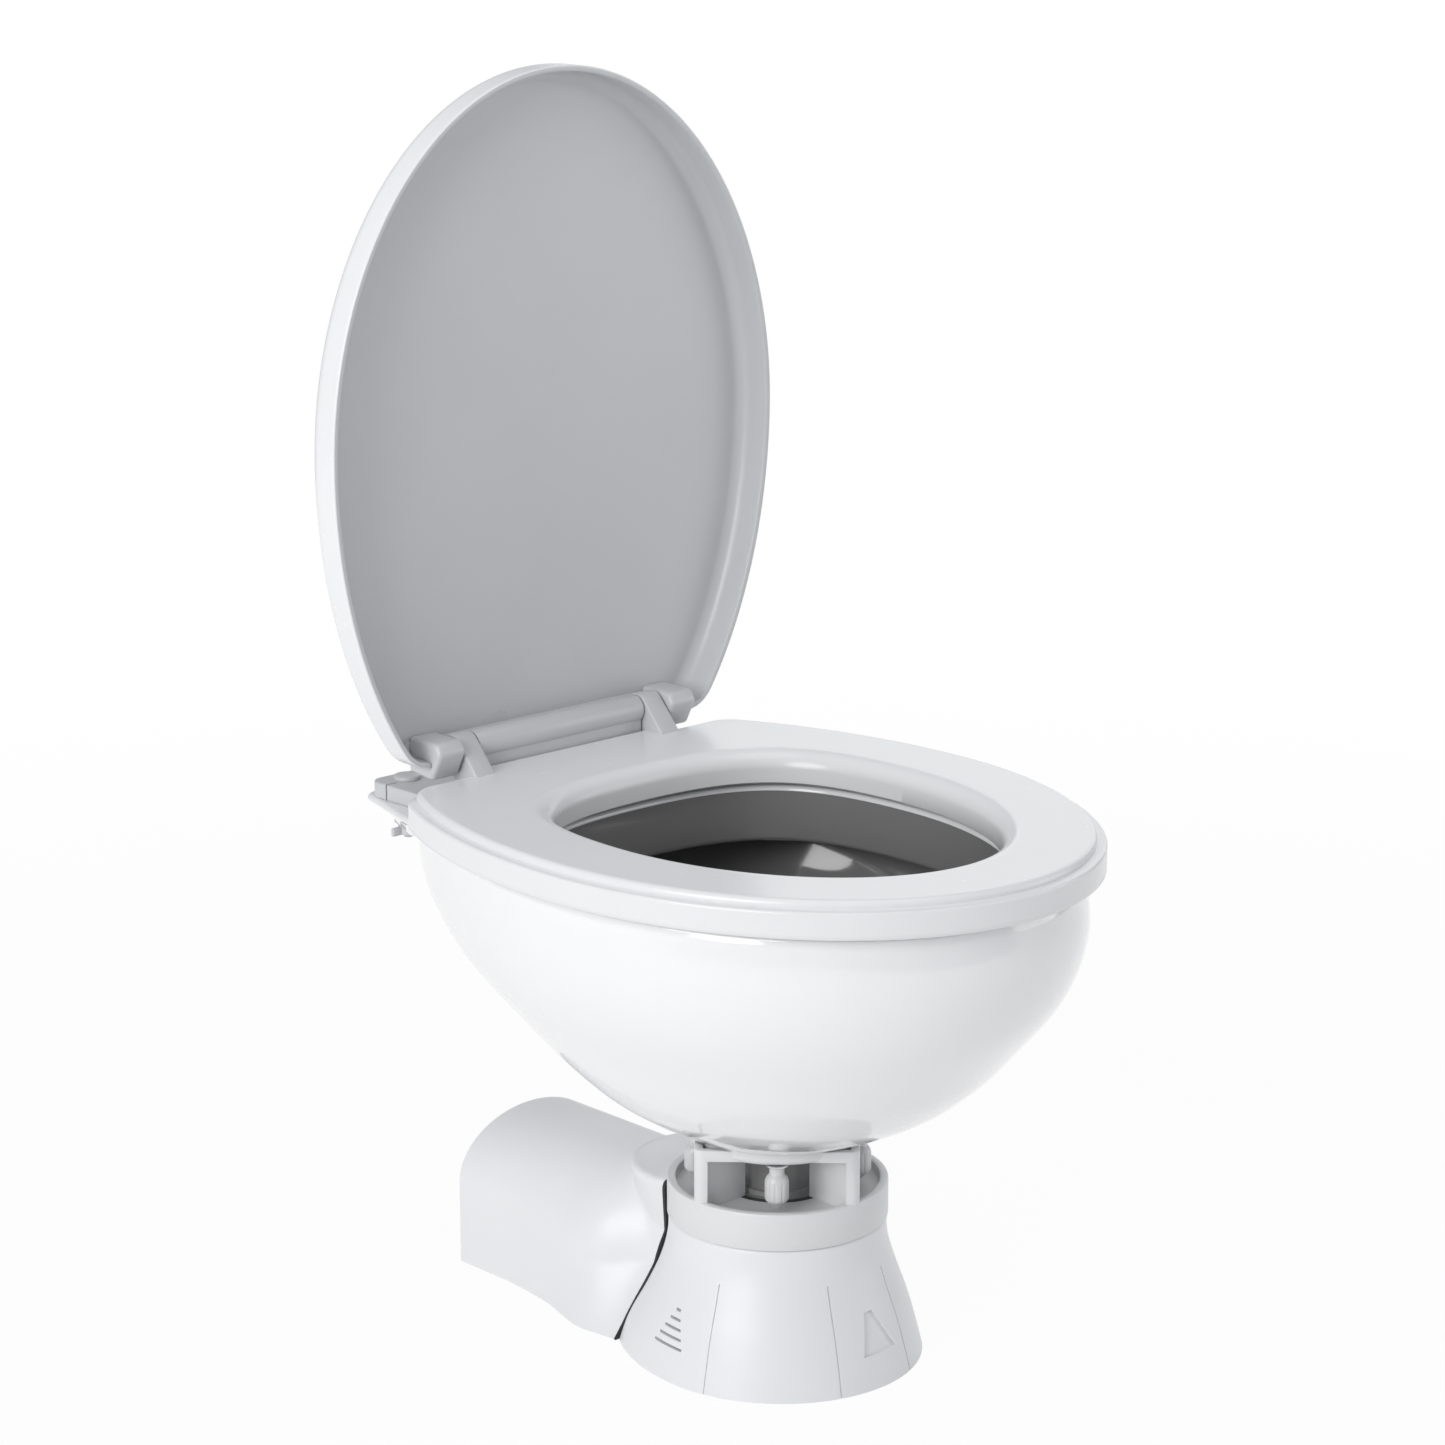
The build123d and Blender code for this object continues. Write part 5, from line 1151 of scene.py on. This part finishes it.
def makeFasteners():
    s, h = fastenerSize, hingeSize
    around = ringAt(np.radians((45, 135, 225, 315)), s["circle"], 0)
    repeated("bowlNuts", flutedNut(), around, s["nutLow"], nutPlastic, "bowl_nuts", s["nutTurn"])
    length, r, end = s["studHigh"] - s["studLow"], s["rod"], s["rodEnd"]
    stud = threaded(r, 0, length) + [(r - 0.1, length - 0.7), (r - end, length), (axisGap, length)]
    repeated("bowlStuds", lathe("studPiece", stud, steps=40), around, s["studLow"], steelUp, "bowl_studs")
    washer = lathe("washerPiece", s["bowlWasher"])
    repeated("bowlWashers", washer, around, s["washerLow"], steelUp, "bowl_washers")
    washerLow = bowlSize["deckLow"] - s["hingeWasherHigh"]
    nutLow = washerLow - s["wingNutHigh"]
    pair = np.array([(side * h["boltX"], h["boltY"]) for side in (-1, 1)])
    bolt = headedBolt(nutLow - s["boltMore"] - h["top"])
    repeated("hingeBolts", bolt, pair, h["top"], hingePlastic, "hinge_bolts")
    washer = lathe("washerPiece", s["hingeWasher"])
    repeated("hingeWashers", washer, pair, washerLow, softGrey, "hinge_washers")
    repeated("wingNuts", wingNut(), pair, nutLow, hingePlastic, "hinge_wing_nuts")
    below = np.array([(side * x, y) for side in (-1, 1) for x, y in s["bufferPlaces"]])
    buffer = lathe("bufferPiece", s["buffer"])
    repeated("seatBuffers", buffer, below, s["bufferLow"], softGrey, "seat_buffers", body="seat")


makeFasteners()
print("fasteners made")


view = {
    "from": (-1.328549, -1.355386, 0.845254), "at": (-0.04292, 0.0, 0.37249), "lens": 89.25,
    "sensor": 36.0, "far": 50.0,
}


def aimed(obj, place, target):
    obj.location = place
    obj.rotation_euler = (Vector(target) - Vector(place)).to_track_quat("-Z", "Y").to_euler()
    return obj


cameraData = bpy.data.cameras.new("photoCamera")
cameraData.sensor_width, cameraData.lens, cameraData.clip_end = view["sensor"], view["lens"], view["far"]
scene.camera = aimed(newObject("photoCamera", cameraData), view["from"], view["at"])

lights = {
    # name: (place, aim, size, watts)
    "keyLeft": ((-3.2, -0.5, 1.4), (0, 0, 0.3), 2.2, 64.0),
    "frontFill": ((2.6, -2.0, 0.8), (0, 0, 0.4), 2.2, 19.0),
    "rightRim": ((2.6, 1.5, 1.3), (0, 0, 0.3), 2.4, 13.0),
    "topSoft": ((0, -0.5, 3.4), (0, 0, 0.2), 2.6, 20.0),
}
for name, (place, target, size, watts) in lights.items():
    data = bpy.data.lights.new(name, "AREA")
    data.shape, data.size, data.energy = "DISK", size, watts
    aimed(newObject(name, data), place, target)


floorSize = {"half": 2.6, "glow": 0.94, "fadeFrom": 0.5, "fadeTo": 2.0}


def makeFloor():
    # to the camera the floor is mostly its own white, all of it at the edge, so that only the shadow shows
    s = floorSize
    bm = bmesh.new()
    bmesh.ops.create_grid(bm, x_segments=1, y_segments=1, size=s["half"])
    floor = meshObject("floor", bm)
    kit = MaterialKit("paleFloor")
    kit.set(Base_Color=(0.86, 0.86, 0.86, 1), Roughness=0.9)
    direct, mirrored, through = kit.rays("Camera", "Glossy", "Transmission")
    seen = direct + mirrored + through
    distance = kit.node("ShaderNodeVectorMath", {"operation": "LENGTH"}, {0: kit.place()}, output="Value")
    edge = distance.smooth(s["fadeFrom"], s["fadeTo"])
    glow = kit.node("ShaderNodeEmission", {}, {"Color": (1, 1, 1, 1), "Strength": 1.0})
    part = seen * (1 - (1 - edge) * (1 - s["glow"]))
    mix = kit.node("ShaderNodeMixShader", {}, {0: part, 1: Wire(kit, kit.shader.outputs[0]), 2: glow})
    out = next(n for n in kit.tree.nodes if n.type == "OUTPUT_MATERIAL")
    kit.feed(out.inputs[0], mix)
    floor.data.materials.append(kit.material)


def makeWorld():
    # the camera sees plain white, and the pieces are lit by a dimmer, cooler sky
    world = bpy.data.worlds.new("studio")
    scene.world = world
    world.use_nodes = True
    kit = NodeKit(world.node_tree)
    direct, through = kit.rays("Camera", "Transmission")
    sky, white = (kit.node("ShaderNodeBackground", {}, {"Color": colour, "Strength": strength})
                  for colour, strength in (((0.95, 0.96, 1.0, 1), 0.42), ((1, 1, 1, 1), 1.0)))
    mixed = kit.node("ShaderNodeMixShader", {}, {0: kit.maths("MAXIMUM", direct, through), 1: sky, 2: white})
    kit.feed(kit.tree.nodes["World Output"].inputs[0], mixed)


makeFloor()
makeWorld()
scene.view_settings.view_transform = "Standard"
print("camera and light set")
